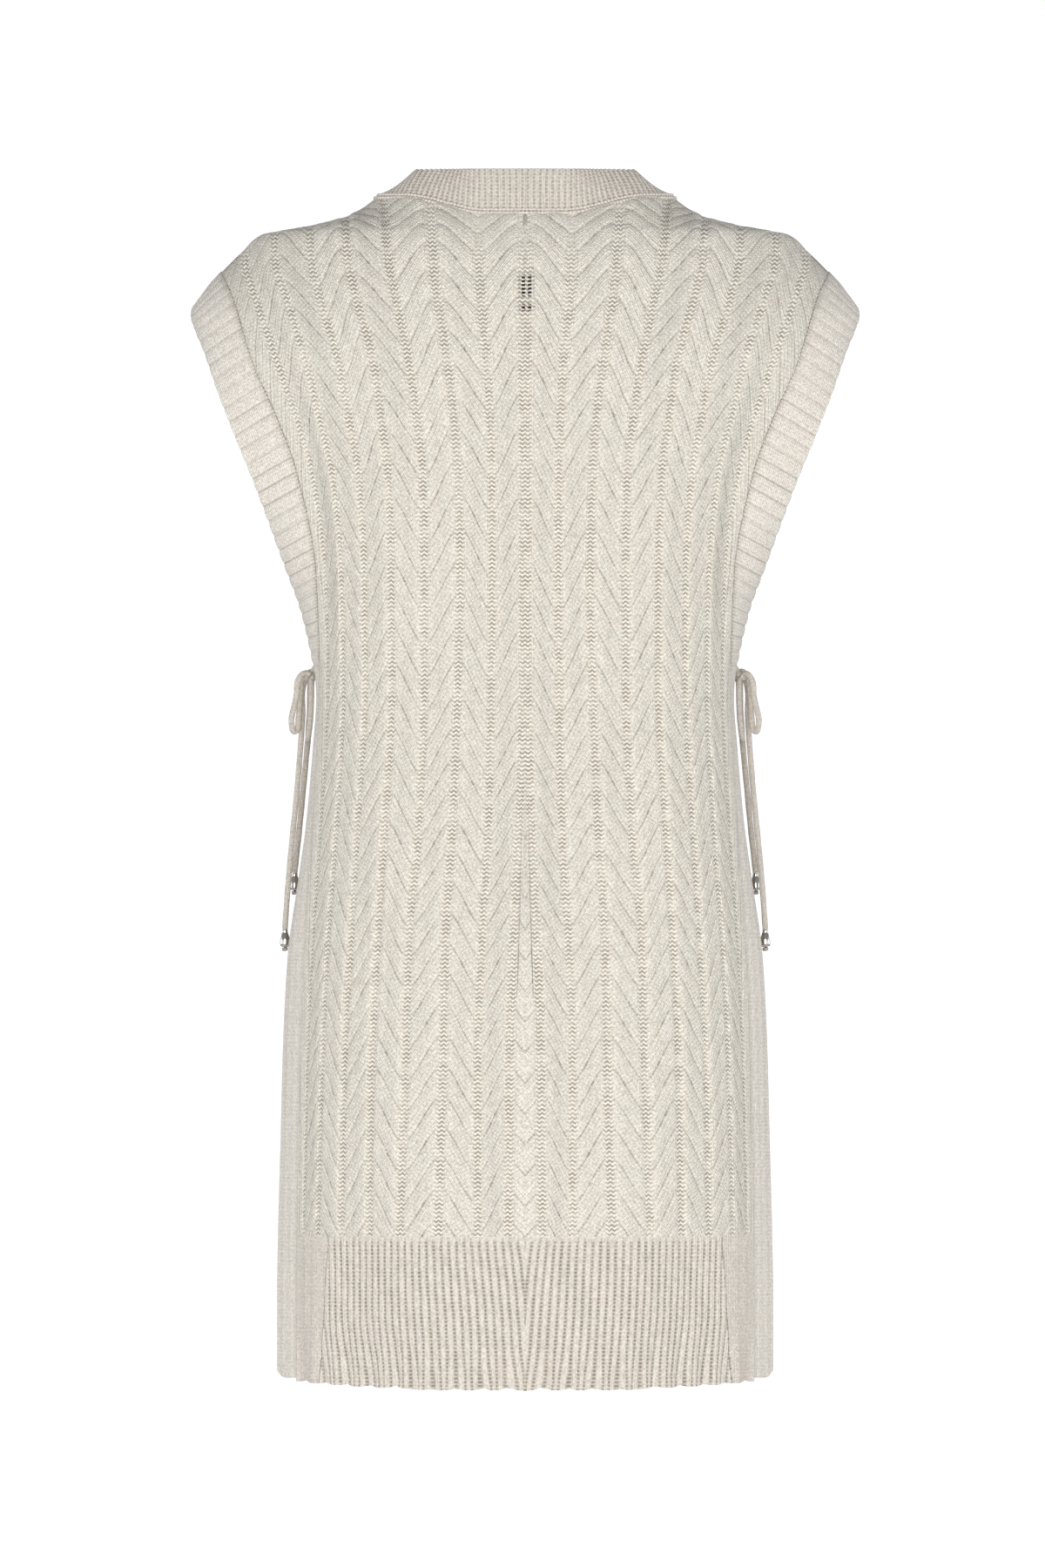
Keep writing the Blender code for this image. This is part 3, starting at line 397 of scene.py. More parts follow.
def fold_depth(across, height, side):
    """Broad soft folds as listed in FOLDS, which fade out at their upper ends."""
    rise = np.zeros(np.broadcast(across, height).shape)
    for (from_x, from_z), (to_x, to_z), width, depth, face in FOLDS:
        if face != side:
            continue
        share = np.clip((height - from_z) / (to_z - from_z), 0.0, 1.0)
        middle = from_x + (to_x - from_x) * share
        fade = smooth_step(share, 0.0, 0.35)
        if to_z > -700.0:
            fade = fade * (1.0 - smooth_step(share, 0.6, 1.0))
        rise = rise + depth * fade * np.exp(-((across - middle) / width) ** 2)
    return rise


def neck_height(across, side):
    """Height of the neck seam inside the neck points."""
    share = np.clip(np.abs(across) / NECK_HALF_WIDTH, 0.0, 1.0)
    if side > 0:
        return NECK_POINT_HEIGHT - BACK_NECK_DROP * (1.0 - smooth_step(np.abs(across), 26.0, 80.0))
    return V_POINT_HEIGHT + (NECK_POINT_HEIGHT - V_POINT_HEIGHT) * share ** V_BOW


def top_height(across, side):
    """Upper edge of a panel: under the neck seam, then along the shoulder line."""
    inside = np.abs(across) < NECK_HALF_WIDTH
    return np.where(inside, neck_height(across, side), shoulder_height(across))


def stripe_across(place, height):
    """Distance from the centre at places counted in stripes, 1 at s0 and 9 at the seam."""
    edges = [np.zeros_like(height)] + [STRIPE[name](height) for name in STRIPE_NAMES[1:]]
    edges = np.stack(edges)
    first = np.clip(np.abs(place).astype(int), 0, len(edges) - 2)
    share = np.abs(place) - first
    near = np.take_along_axis(edges, first[None], axis=0)[0]
    far = np.take_along_axis(edges, first[None] + 1, axis=0)[0]
    return np.sign(place) * (near + (far - near) * share)


def repeat_length(height):
    """From one cable crossing to the next: longer above the waist."""
    above = np.clip((height - REPEAT_CHANGE_HEIGHT) / REPEAT_CHANGE_SPAN, 0.0, 1.0)
    return REPEAT_BELOW + (REPEAT_ABOVE - REPEAT_BELOW) * above


def column_grid(places, side, rows):
    """(height, repeats counted from the hem seam) for evenly spaced rows up every column."""
    fine = np.arange(HEM_SEAM_HEIGHT, NECK_POINT_HEIGHT + 1.5, 1.0)
    heights = np.zeros((len(places), rows))
    counts = np.zeros((len(places), rows))
    for i, place in enumerate(places):
        across = stripe_across(np.full_like(fine, place), fine)
        over = fine - top_height(across, side)
        last = int(np.argmax(over >= 0.0)) if (over >= 0.0).any() else len(fine) - 1
        share = -over[last - 1] / (over[last] - over[last - 1])
        column = np.append(fine[:last], fine[last - 1] + share)
        points = cloth_point(stripe_across(np.full_like(column, place), column), column, side)
        steps = np.linalg.norm(np.diff(points, axis=0), axis=1)
        middle = (column[1:] + column[:-1]) / 2.0
        under = np.clip((column[-1] - middle) / NECK_CROWD_SPAN, 0.0, 4.0)
        near = 1.0 - smooth_step(abs(place), 3.6, 6.5)
        crowd = 1.0 - NECK_CROWD * near * np.exp(-under ** 2) * (1.0 if side > 0 else 0.5)
        count = np.concatenate(([0.0], np.cumsum(steps / (repeat_length(middle) * crowd))))
        share = np.linspace(0.0, 1.0, rows)
        late = np.clip((share - FIT_FROM) / (1.0 - FIT_FROM), 0.0, 1.0) ** 1.5
        shared = SHARED_REPEATS * share
        counts[i] = shared + (count[-1] - SHARED_REPEATS) * late
        heights[i] = np.interp(counts[i], count, column)
    return heights, counts


# ---------------------------------------------------------------- shells of cloth

def new_mesh(name, points, faces):
    """A mesh from points in millimetres."""
    mesh = bpy.data.meshes.new(name)
    mesh.from_pydata((np.asarray(points) * MM).tolist(), [], faces)
    return mesh


def shade_smooth(mesh):
    mesh.polygons.foreach_set("use_smooth", [True] * len(mesh.polygons))


def mend_normals(mesh):
    """Turn every face of a closed mesh outwards."""
    shape = bmesh.new()
    shape.from_mesh(mesh)
    bmesh.ops.recalc_face_normals(shape, faces=shape.faces)
    shape.to_mesh(mesh)
    shape.free()


def lay_coordinates(mesh, layer, cells, facing):
    """Give the four corners of each outer cell its stitch coordinates, and the rest one place."""
    cells = cells.reshape(-1, 4, 2)
    if facing < 0:
        cells = cells[:, ::-1]
    data = np.full((len(mesh.loops), 2), INSIDE_PLACE, dtype=np.float32)
    data[:cells.shape[0] * 4] = cells.reshape(-1, 2)
    mesh.uv_layers.new(name=layer).data.foreach_set("uv", data.ravel())


def thin_shell(name, outer, inner, facing, layers, marks, coarse=6):
    """A closed shell of cloth: a fine grid outside, every few points inside, and four rims.

    layers are coordinates of the outer points, and marks are values at them; the inside stays plain.
    """
    columns, rows = outer.shape[:2]
    number = np.arange(columns * rows).reshape(columns, rows)
    picked_columns = sorted(set(list(range(0, columns, coarse)) + [columns - 1]))
    picked_rows = sorted(set(list(range(0, rows, coarse)) + [rows - 1]))
    inside = inner[np.ix_(picked_columns, picked_rows)]
    below = columns * rows + np.arange(inside[..., 0].size).reshape(inside.shape[:2])
    fine = np.stack((number[:-1, :-1], number[1:, :-1], number[1:, 1:], number[:-1, 1:]), axis=-1)
    plain = np.stack((below[:-1, :-1], below[:-1, 1:], below[1:, 1:], below[1:, :-1]), axis=-1)
    faces = fine.reshape(-1, 4).tolist() + plain.reshape(-1, 4).tolist()

    def rim(upper, lower, picked, flip):
        for k, (start, end) in enumerate(zip(picked, picked[1:])):
            line = [int(upper[i]) for i in range(start, end + 1)]
            back = [int(lower[k + 1]), int(lower[k])]
            faces.append((line + back)[::-1] if flip else line + back)

    rim(number[:, 0], below[:, 0], picked_columns, True)
    rim(number[:, -1], below[:, -1], picked_columns, False)
    rim(number[0], below[0], picked_rows, False)
    rim(number[-1], below[-1], picked_rows, True)
    if facing < 0:
        faces = [face[::-1] for face in faces]
    mesh = new_mesh(name, np.concatenate((outer.reshape(-1, 3), inside.reshape(-1, 3))), faces)
    for layer, values in layers.items():
        cells = np.stack((values[:-1, :-1], values[1:, :-1], values[1:, 1:], values[:-1, 1:]), axis=2)
        lay_coordinates(mesh, layer, cells, facing)
    for mark, values in marks.items():
        data = np.full(len(mesh.vertices), 1.0 if mark == "cable" else 0.0, dtype=np.float32)
        data[:columns * rows] = values.ravel()
        mesh.attributes.new(mark, "FLOAT", "POINT").data.foreach_set("value", data)
    shade_smooth(mesh)
    mesh.set_sharp_from_angle(angle=math.radians(65.0))
    return mesh


def put_out(name, mesh, material, nodes):
    """Link a piece, let it stand for its CAD nodes and ride on the one body."""
    item = bpy.data.objects.new(name, mesh)
    bpy.context.scene.collection.objects.link(item)
    if material is not None:
        mesh.materials.append(material)
    if nodes:
        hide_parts(*nodes)
    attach(item, "root")
    return item


def flat_area(points):
    """Area of a grid of points in square millimetres, and its greatest width and length."""
    one = points[1:, :-1] - points[:-1, :-1]
    two = points[:-1, 1:] - points[:-1, :-1]
    area = float(np.linalg.norm(np.cross(one, two), axis=-1).sum())
    wide = float(np.linalg.norm(np.diff(points, axis=0), axis=-1).sum(axis=0).max())
    long = float(np.linalg.norm(np.diff(points, axis=1), axis=-1).sum(axis=1).max())
    return area, wide, long


def declare_sheet(points, across=0.0):
    """Work out the cut of a piece of cloth, its plain grid's area, width and length, or its own width across;
    nothing is kept.
    """
    area, wide, long = flat_area(points)
    wide = across or wide


# ---------------------------------------------------------------- yarn materials

class Weave:
    """Builds a yarn material's node tree from small sums."""

    def __init__(self, name):
        self.material = bpy.data.materials.new(name)
        self.material.use_nodes = True
        self.tree = self.material.node_tree
        self.shader = self.tree.nodes["Principled BSDF"]

    def node(self, kind, **settings):
        made = self.tree.nodes.new(kind)
        for key, value in settings.items():
            setattr(made, key, value)
        return made

    def feed(self, socket, value):
        if hasattr(value, "is_output"):
            self.tree.links.new(value, socket)
        else:
            socket.default_value = value

    def sum(self, operation, *values):
        made = self.node("ShaderNodeMath", operation=operation)
        for socket, value in zip(made.inputs, values):
            self.feed(socket, value)
        return made.outputs[0]

    def add(self, one, two):
        return self.sum("ADD", one, two)

    def times(self, one, two):
        return self.sum("MULTIPLY", one, two)

    def scaled(self, value, factor, extra):
        """value times factor, plus extra."""
        return self.sum("MULTIPLY_ADD", value, factor, extra)

    def rest(self, value):
        """What is missing to 1."""
        return self.sum("SUBTRACT", 1.0, value)

    def size_of(self, value):
        return self.sum("ABSOLUTE", value)

    def wave(self, value):
        """0 to 1 and back, once for each unit; 1 at whole numbers."""
        turned = self.sum("COSINE", self.times(value, 2.0 * math.pi))
        return self.scaled(turned, 0.5, 0.5)

    def ramp(self, value, low, high):
        made = self.node("ShaderNodeMapRange", interpolation_type="SMOOTHSTEP")
        self.feed(made.inputs["Value"], value)
        made.inputs["From Min"].default_value = low
        made.inputs["From Max"].default_value = high
        return made.outputs["Result"]

    def layer(self, name):
        source = self.node("ShaderNodeUVMap", uv_map=name)
        split = self.node("ShaderNodeSeparateXYZ")
        self.tree.links.new(source.outputs["UV"], split.inputs["Vector"])
        return split.outputs["X"], split.outputs["Y"]

    def mark(self, name):
        return self.node("ShaderNodeAttribute", attribute_name=name).outputs["Fac"]

    def noise(self, scale, detail=3.0, stretch=None):
        place = self.node("ShaderNodeTexCoord").outputs["Object"]
        if stretch:
            shaped = self.node("ShaderNodeMapping")
            shaped.inputs["Scale"].default_value = stretch
            self.tree.links.new(place, shaped.inputs["Vector"])
            place = shaped.outputs["Vector"]
        made = self.node("ShaderNodeTexNoise")
        made.inputs["Scale"].default_value = scale
        made.inputs["Detail"].default_value = detail
        self.tree.links.new(place, made.inputs["Vector"])
        return made.outputs["Fac"]

    def mix(self, factor, one, two, blend="MIX"):
        made = self.node("ShaderNodeMix", data_type="RGBA", blend_type=blend)
        self.feed(made.inputs["Factor"], factor)
        for socket, value in ((made.inputs[6], one), (made.inputs[7], two)):
            self.feed(socket, value if hasattr(value, "is_output") else (*value, 1.0))
        return made.outputs[2]

    def knit(self, across, along):
        """Height of knit stitches: two slanting legs for each stitch, a V in each column."""
        column = self.sum("FRACT", across)
        middle = self.size_of(self.scaled(column, 2.0, -1.0))
        leg = self.sum("PINGPONG", middle, 0.5)
        leg = self.ramp(self.times(leg, 2.0), -0.1, 0.9)
        step = self.wave(self.scaled(middle, -0.62, along))
        return self.times(leg, self.scaled(step, 0.55, 0.45))

    def purl(self, across, along):
        """(height, gaps) of purl stitches: rows of small zigzags, across counted from the stripe."""
        bend = self.sum("COSINE", self.times(across, 2.0 * math.pi * STITCH_WIDTH / PURL_WIDTH))
        rows = self.times(along, STITCH_HEIGHT / PURL_HEIGHT)
        row = self.wave(self.scaled(bend, -0.20, rows))
        return row, self.ramp(row, 0.66, 0.16)

    def bump_of(self, value, low, high):
        """1 where the value lies between low and high, and 0 outside."""
        rising = self.ramp(value, low - 0.25, low)
        return self.times(rising, self.rest(self.ramp(value, high - 0.15, high)))

    def blend(self, factor, one, two):
        made = self.node("ShaderNodeMix", data_type="FLOAT")
        for place, value in ((0, factor), (2, one), (3, two)):
            self.feed(made.inputs[place], value)
        return made.outputs[0]

    def finish_yarn(self, colour, height, depth, roughness=0.92):
        bump = self.node("ShaderNodeBump")
        bump.inputs["Strength"].default_value = 1.0
        bump.inputs["Distance"].default_value = depth
        self.tree.links.new(height, bump.inputs["Height"])
        self.tree.links.new(bump.outputs["Normal"], self.shader.inputs["Normal"])
        self.tree.links.new(colour, self.shader.inputs["Base Color"])
        self.shader.inputs["Roughness"].default_value = roughness
        self.shader.inputs["Specular IOR Level"].default_value = 0.25
        self.shader.inputs["Sheen Weight"].default_value = 0.18
        self.shader.inputs["Sheen Roughness"].default_value = 0.5
        return self.material


def yarn_tint(weave, base, hollow_shade, shade):
    """Wool with soft flecks and a slow drift of tint, mixed towards the painted shade colour where shade is
    1.
    """
    drift = weave.ramp(weave.noise(38.0, 3.0), 0.38, 0.62)
    tint = weave.mix(drift, (base[0] * 0.985, base[1] * 0.992, base[2] * 0.985),
                     (base[0] * 1.008, base[1] * 0.998, base[2] * 1.0))
    rosy = weave.ramp(weave.noise(95.0, 2.0), 0.60, 0.76)
    tint = weave.mix(rosy, tint, (base[0] * 0.99, base[1] * 0.945, base[2] * 0.92))
    fleck = weave.ramp(weave.noise(700.0, 3.0), 0.38, 0.60)
    tint = weave.mix(fleck, [value * 0.79 for value in base], tint)
    return weave.mix(shade, tint, hollow_shade)


def cable_yarn(settings):
    """Cable knit: strands of knit stitches between purl stripes."""
    weave = Weave("cable_knit_wool")
    strand_x, strand_y = weave.layer("strand")
    cloth_x, cloth_y = weave.layer("cloth")
    cable = weave.mark("cable")
    stitches = weave.knit(strand_x, strand_y)
    bows, gaps = weave.purl(cloth_x, cloth_y)
    upright = weave.knit(cloth_x, cloth_y)
    border = weave.bump_of(cable, 0.45, 0.95)
    stitches = weave.blend(border, stitches, upright)
    groove = weave.wave(weave.times(strand_x, 1.0 / STRAND_WALES))
    crease = weave.ramp(groove, 0.86, 1.0)
    wide = weave.ramp(groove, 0.55, 1.0)
    middle = weave.mark("middle")
    uneven = weave.noise(240.0, 2.0)
    knit_height = weave.scaled(crease, -0.6, stitches)
    height = weave.scaled(uneven, 0.6, weave.blend(cable, bows, knit_height))
    spots = weave.wave(weave.times(strand_y, 1.0 / 3.6))
    # Painted shade: dark eyes in the creases at the middle of each cable.
    eye = weave.times(weave.times(crease, middle), weave.ramp(spots, 0.35, 0.95))
    eye = weave.times(eye, weave.ramp(weave.noise(60.0, 1.0), 0.38, 0.62))
    speck = weave.ramp(weave.noise(620.0, 2.0), 0.40, 0.72)
    # knit_shade is painted shade: in the gaps between stitches, in dots between the wales, in the eyes and
    # along the strands' creases.
    knit_shade = weave.times(weave.rest(stitches),
                             weave.scaled(speck, 0.24, 0.02))
    dots = weave.ramp(weave.times(weave.wave(strand_x), weave.wave(strand_y)), 0.25, 0.85)
    knit_shade = weave.scaled(dots, 0.22, knit_shade)
    knit_shade = weave.scaled(eye, 0.30, knit_shade)
    faint = weave.ramp(weave.noise(75.0, 2.0), 0.34, 0.60)
    knit_shade = weave.scaled(wide, 0.05, knit_shade)
    knit_shade = weave.scaled(weave.times(crease, faint), 0.14, knit_shade)
    patchy = weave.ramp(weave.noise(120.0, 2.0), 0.30, 0.60)
    # Painted shade in the gaps between the purl rows, unevenly strong.
    purl_shade = weave.times(gaps, weave.scaled(patchy, 0.30, 0.40))
    shade = weave.blend(cable, purl_shade, knit_shade)
    colour = yarn_tint(weave, list(settings.wool), list(settings.hollow_shade), shade)
    # Painted shade of the ladder's open holes, near black where they lie.
    beside = weave.size_of(weave.mark("ladder_place"))
    near = weave.ramp(weave.size_of(weave.add(beside, -LADDER_NEAR)), 1.45, 0.95)
    far = weave.ramp(weave.size_of(weave.add(beside, -LADDER_FAR)), 1.0, 0.4)
    hole_shade = weave.times(weave.scaled(far, 0.35, near), weave.mark("ladder"))
    hole_shade = weave.times(hole_shade, weave.ramp(weave.wave(weave.add(cloth_y, 0.5)), 0.25, 0.50))
    colour = weave.mix(hole_shade, colour, LADDER_HOLE_SHADE)
    return weave.finish_yarn(colour, height, 0.0007)


def rib_yarn(settings):
    """Rib knit: columns of knit stitches on the ridges and broken rungs of painted shade in the furrows."""
    weave = Weave("rib_knit_wool")
    across, along = weave.layer("cloth")
    ridge = weave.mark("cable")
    stitches = weave.knit(across, along)
    rungs = weave.wave(along)
    low = weave.rest(ridge)
    height = weave.blend(ridge, weave.times(rungs, 0.5), weave.times(stitches, 0.8))
    height = weave.scaled(weave.noise(300.0, 2.0), 0.5, height)
    patchy = weave.ramp(weave.noise(150.0, 3.0), 0.32, 0.62)
    # Painted shade in the furrows between the ribs, in broken rungs.
    furrow_shade = weave.ramp(weave.rest(rungs), 0.20, 0.75)
    furrow_shade = weave.scaled(furrow_shade, 0.44, 0.36)
    shade = weave.times(weave.times(low, furrow_shade), weave.scaled(patchy, 0.22, 0.80))
    speck = weave.ramp(weave.noise(620.0, 2.0), 0.40, 0.72)
    pale = weave.mark("pale")
    # Painted shade in the gaps between the ridges' stitches, weaker on the side bands.
    gaps = weave.times(weave.rest(stitches),
                       weave.scaled(speck, 0.24, 0.03))
    gaps = weave.times(gaps, weave.scaled(pale, -0.5, 1.0))
    shade = weave.scaled(ridge, gaps, shade)
    colour = yarn_tint(weave, list(settings.rib_wool), list(settings.hollow_shade), shade)
    tinted = weave.mix(1.0, colour, list(settings.band_tint), "MULTIPLY")
    colour = weave.mix(pale, colour, tinted)
    return weave.finish_yarn(colour, height, 0.0006)


def cord_yarn(settings):
    """Round knitted cord: columns of small stitches along it."""
    weave = Weave("knitted_cord")
    across, along = weave.layer("cloth")
    stitches = weave.knit(across, along)
    height = weave.scaled(weave.noise(500.0, 2.0), 0.3, stitches)
    shade = weave.times(weave.rest(stitches), 0.22)
    colour = yarn_tint(weave, list(settings.rib_wool), list(settings.hollow_shade), shade)
    return weave.finish_yarn(colour, height, 0.00045)


def nickel(settings):
    """Polished nickel with fine turning marks and a little wear."""
    weave = Weave("polished_nickel")
    marks = weave.noise(900.0, 2.0, (0.15, 0.15, 2.4))
    rough = weave.node("ShaderNodeMapRange")
    weave.feed(rough.inputs["Value"], marks)
    rough.inputs["To Min"].default_value = 0.14
    rough.inputs["To Max"].default_value = 0.30
    weave.tree.links.new(rough.outputs["Result"], weave.shader.inputs["Roughness"])
    worn = weave.ramp(weave.noise(160.0, 3.0), 0.35, 0.8)
    base = list(settings.nickel)
    colour = weave.mix(worn, base, [value * 0.82 for value in base])
    weave.tree.links.new(colour, weave.shader.inputs["Base Color"])
    weave.shader.inputs["Metallic"].default_value = 1.0
    return weave.material


def yarn(name):
    """A material that an earlier step made, or the new one."""
    makers = {"cable_knit_wool": cable_yarn, "rib_knit_wool": rib_yarn, "knitted_cord": cord_yarn}
    made = bpy.data.materials.get("yarn_" + name)
    if made is None:
        made = makers[name](bpy.context.scene.tunic_knit)
        made.name = "yarn_" + name
    return made


# ---------------------------------------------------------------- panels

def strand_shape(phase):
    """Rounded cross-section of a strand, 0 in the crease and 1 at its crest."""
    across = np.abs(2.0 * (phase - np.floor(phase)) - 1.0)
    return (1.0 - across ** 3.0) ** 0.8


def cable_climb(share, stripe):
    """Share of its climb that a strand has made: strands rise towards the even stripes."""
    done = np.where(stripe % 2 == 1, share, 1.0 - share)
    return done - 0.32 * np.sin(2.0 * math.pi * done) / (2.0 * math.pi)


def cable_form(place, count, column_width):
    """(rise, cable mask, middle mask) of the pattern; column_width is half the centre column's."""
    settings = bpy.context.scene.tunic_knit
    far = np.abs(place)
    zone = np.floor(far).astype(int)
    share = far - zone
    stripe = zone - 1
    climb = cable_climb(share, stripe)
    phase = count - STRAND_CLIMB * climb
    crest = strand_shape(phase)
    flare = phase - np.floor(phase)
    purl = 0.084 + 0.062 * flare
    body = smooth_step(share, purl - 0.05, purl + 0.07)
    body = body * smooth_step(1.0 - share, purl - 0.05, purl + 0.07)
    hook = np.exp(-((climb - 0.84) / 0.13) ** 2) * crest
    rise = body * (0.42 + 0.58 * crest) + 0.12 * hook
    plain = (zone >= int(LAST_CABLE_PLACE)) | (zone < 1)
    rise = np.where(plain, 0.0, rise)
    body = np.where(plain, 0.0, body)
    edge = smooth_step(share, 0.12, 0.35) * 0.55
    rise = np.where(zone >= int(LAST_CABLE_PLACE), edge, rise)
    body = np.where(zone >= int(LAST_CABLE_PLACE), smooth_step(share, 0.1, 0.3), body)
    room = column_width * (1.0 - share)
    chevron = smooth_step(room, 2.6, 4.6)
    lifted = chevron * (0.28 + 0.5 * strand_shape(count - CENTRE_SLOPE * share))
    rise = np.where(zone < 1, lifted, rise)
    body = np.where(zone < 1, chevron, body)
    middle = np.where(plain, 0.0, np.exp(-((share - 0.5) / 0.17) ** 2))
    flat = 1.0 - 0.5 * smooth_step(far, 5.0, 7.5)
    return rise * flat * settings.cable_raise, body, middle


def strand_cells(places, counts, widths):
    """Corner coordinates along the strands, each cell counted within its own cable."""
    middle = (places[1:] + places[:-1]) / 2.0
    zone = np.floor(np.abs(middle)).astype(int)
    corners = []
    for pick, rows in ((slice(None, -1), slice(None, -1)), (slice(1, None), slice(None, -1)),
                       (slice(1, None), slice(1, None)), (slice(None, -1), slice(1, None))):
        share = np.abs(places[pick]) - zone
        share = share[:, None]
        count = counts[pick, rows]
        climb = cable_climb(share, (zone - 1)[:, None])
        across = STRAND_WALES * (count - STRAND_CLIMB * climb)
        along = STRAND_ROWS * count + STRAND_ROWS_ACROSS * climb
        side_strip = (zone >= int(LAST_CABLE_PLACE))[:, None]
        across = np.where(side_strip, widths[pick, rows] / STITCH_WIDTH, across)
        along = np.where(side_strip, count * ROWS_IN_REPEAT, along)
        centre = (zone < 1)[:, None]
        across = np.where(centre, STRAND_WALES * (count - CENTRE_SLOPE * share), across)
        along = np.where(centre, STRAND_ROWS * count + 3.0 * share, along)
        corners.append(np.stack(np.broadcast_arrays(across, along), axis=-1))
    return np.stack(corners, axis=2)


def panel_places(grid):
    """Columns of a panel, close enough for the cables and always one on each stripe."""
    half = list(np.linspace(0.0, 1.0, 8)[:-1])
    for zone in range(1, int(SEAM_PLACE)):
        wide = STRIPES[8][zone + 1] - STRIPES[8][zone]
        steps = max(int(round(max(wide, 19.0) / grid)), 4)
        half += list(np.linspace(zone, zone + 1.0, steps + 1)[:-1])
    half.append(SEAM_PLACE)
    half = np.array(half)
    return np.concatenate((-half[:0:-1], half))


def widest_level(places, side):
    """Length of the cloth from seam to seam at the level where a panel is widest."""
    levels = np.linspace(HEM_SEAM_HEIGHT, SHOULDER_SEAM_HEIGHT, 80)
    heights = np.broadcast_to(levels, (len(places), len(levels)))
    spread = np.broadcast_to(places[:, None], heights.shape)
    line = cloth_point(stripe_across(spread, heights), heights, side)
    return float(np.linalg.norm(np.diff(line, axis=0), axis=-1).sum(axis=0).max())


def knit_panel(which, side):
    """One cable-knit field from the hem seam to the neck and shoulder."""
    settings = bpy.context.scene.tunic_knit
    places = panel_places(settings.grid)
    rows = int(700.0 / settings.grid)
    heights, counts = column_grid(places, side, rows)
    spread = np.broadcast_to(places[:, None], heights.shape)
    across = stripe_across(spread, heights)
    ground = cloth_point(across, heights, side)
    normal = outward(across, heights, side)
    widths = np.concatenate((np.zeros((1, rows)),
                             np.cumsum(np.linalg.norm(np.diff(ground, axis=0), axis=-1), axis=0)))
    widths = widths - widths[len(places) // 2]
    rise, cable, middle = cable_form(spread, counts, STRIPE["s0"](heights))
    beyond = smooth_step(np.abs(across[:, -1:]), 80.0, 110.0)
    border = smooth_step(counts[:, -1:] - counts, 0.0, 0.6 + 1.1 * beyond)
    rise = rise * (0.12 + 0.88 * border) * (0.4 + 0.6 * smooth_step(counts, 0.0, 0.25))
    under = counts[:, -1:] - counts
    inner_part = 1.0 - smooth_step(np.abs(across), 35.0, 75.0)
    plain = 0.8 * inner_part * (1.0 - smooth_step(under, 1.0, 3.6))
    plain = plain + 0.5 * (1.0 - smooth_step(under, 0.3, 1.2))
    cable = cable + (1.0 - cable) * np.minimum(plain, 0.9)
    uneven = 0.12 * np.sin(counts * 2.1 + spread * 1.7) + 0.10 * np.sin(counts * 0.83 - spread * 2.9)
    rise = rise * (1.0 + uneven)
    folds = fold_depth(across, heights, side)
    outer = ground + normal * (rise + folds)[..., None]
    inner = ground + normal * (folds - settings.wall)[..., None]
    for grid in (outer, inner):
        grid[..., 1] = side * np.maximum(grid[..., 1] * side, 0.1)
    stripes = np.sign(places) * np.rint(np.abs(places))
    nearest = np.abs(places[None, :] - stripes[:, None]).argmin(axis=1)
    apart = np.where(np.abs(places) < 1.5, smooth_step(STRIPE["s0"](heights).T, 2.0, 6.0), 1.0).T
    cloth = np.stack(((widths - widths[nearest] * apart) / STITCH_WIDTH, heights / STITCH_HEIGHT), axis=-1)
    open_rows = sum((heights > low) & (heights < high) for low, high in LADDER_ROWS)
    ladder = open_rows * (np.abs(across) < LADDER_REACH) * max(side, 0.0)
    marks = {"cable": cable, "middle": middle, "ladder": ladder, "ladder_place": across + LADDER_SHIFT}
    mesh = thin_shell(which + "_cloth", outer, inner, -side, {"cloth": cloth}, marks)
    lay_coordinates(mesh, "strand", strand_cells(places, counts, widths), -side)
    item = put_out(which + "_cloth", mesh, yarn("cable_knit_wool"), [which + "_panel"])
    declare_sheet(ground,
                  widest_level(places, side))
    return item


# ---------------------------------------------------------------- ribs

def rib_form(number, ridge_share=0.62):
    """(rise, ridge mask) of 1x1 rib at a rib count; whole numbers lie in the furrows."""
    share = number - np.floor(number)
    away = np.abs(2.0 * share - 1.0) / ridge_share
    ridge = np.clip(1.0 - away ** 2.4, 0.0, 1.0) ** 0.7
    return ridge, smooth_step(1.0 - away, -0.15, 0.2)


def rib_coordinate(number, ridge_share=0.62):
    """Knit coordinate that is one column wide on each ridge."""
    whole = np.floor(number)
    return whole + np.clip((number - whole - 0.5) / ridge_share + 0.5, 0.0, 0.999)


def hem_edge(across):
    """Lower edge of the hem: uneven lobes between the notches of the table."""
    edge = HEM_CENTRE_HEIGHT + HEM_SIDE_RISE * (np.abs(across) / HEM_NOTCHES[0][0]) ** 2.4
    for at, depth, width in HEM_NOTCHES:
        edge = edge + depth * np.exp(-(np.abs(np.abs(across) - at) / width) ** 1.3)
    return edge


def hem_gather(across):
    """Lobes of the hem as a count, whole at each notch."""
    places = [-row[0] for row in HEM_NOTCHES] + [row[0] for row in HEM_NOTCHES[::-1]]
    return np.interp(across, places, np.arange(len(places)))


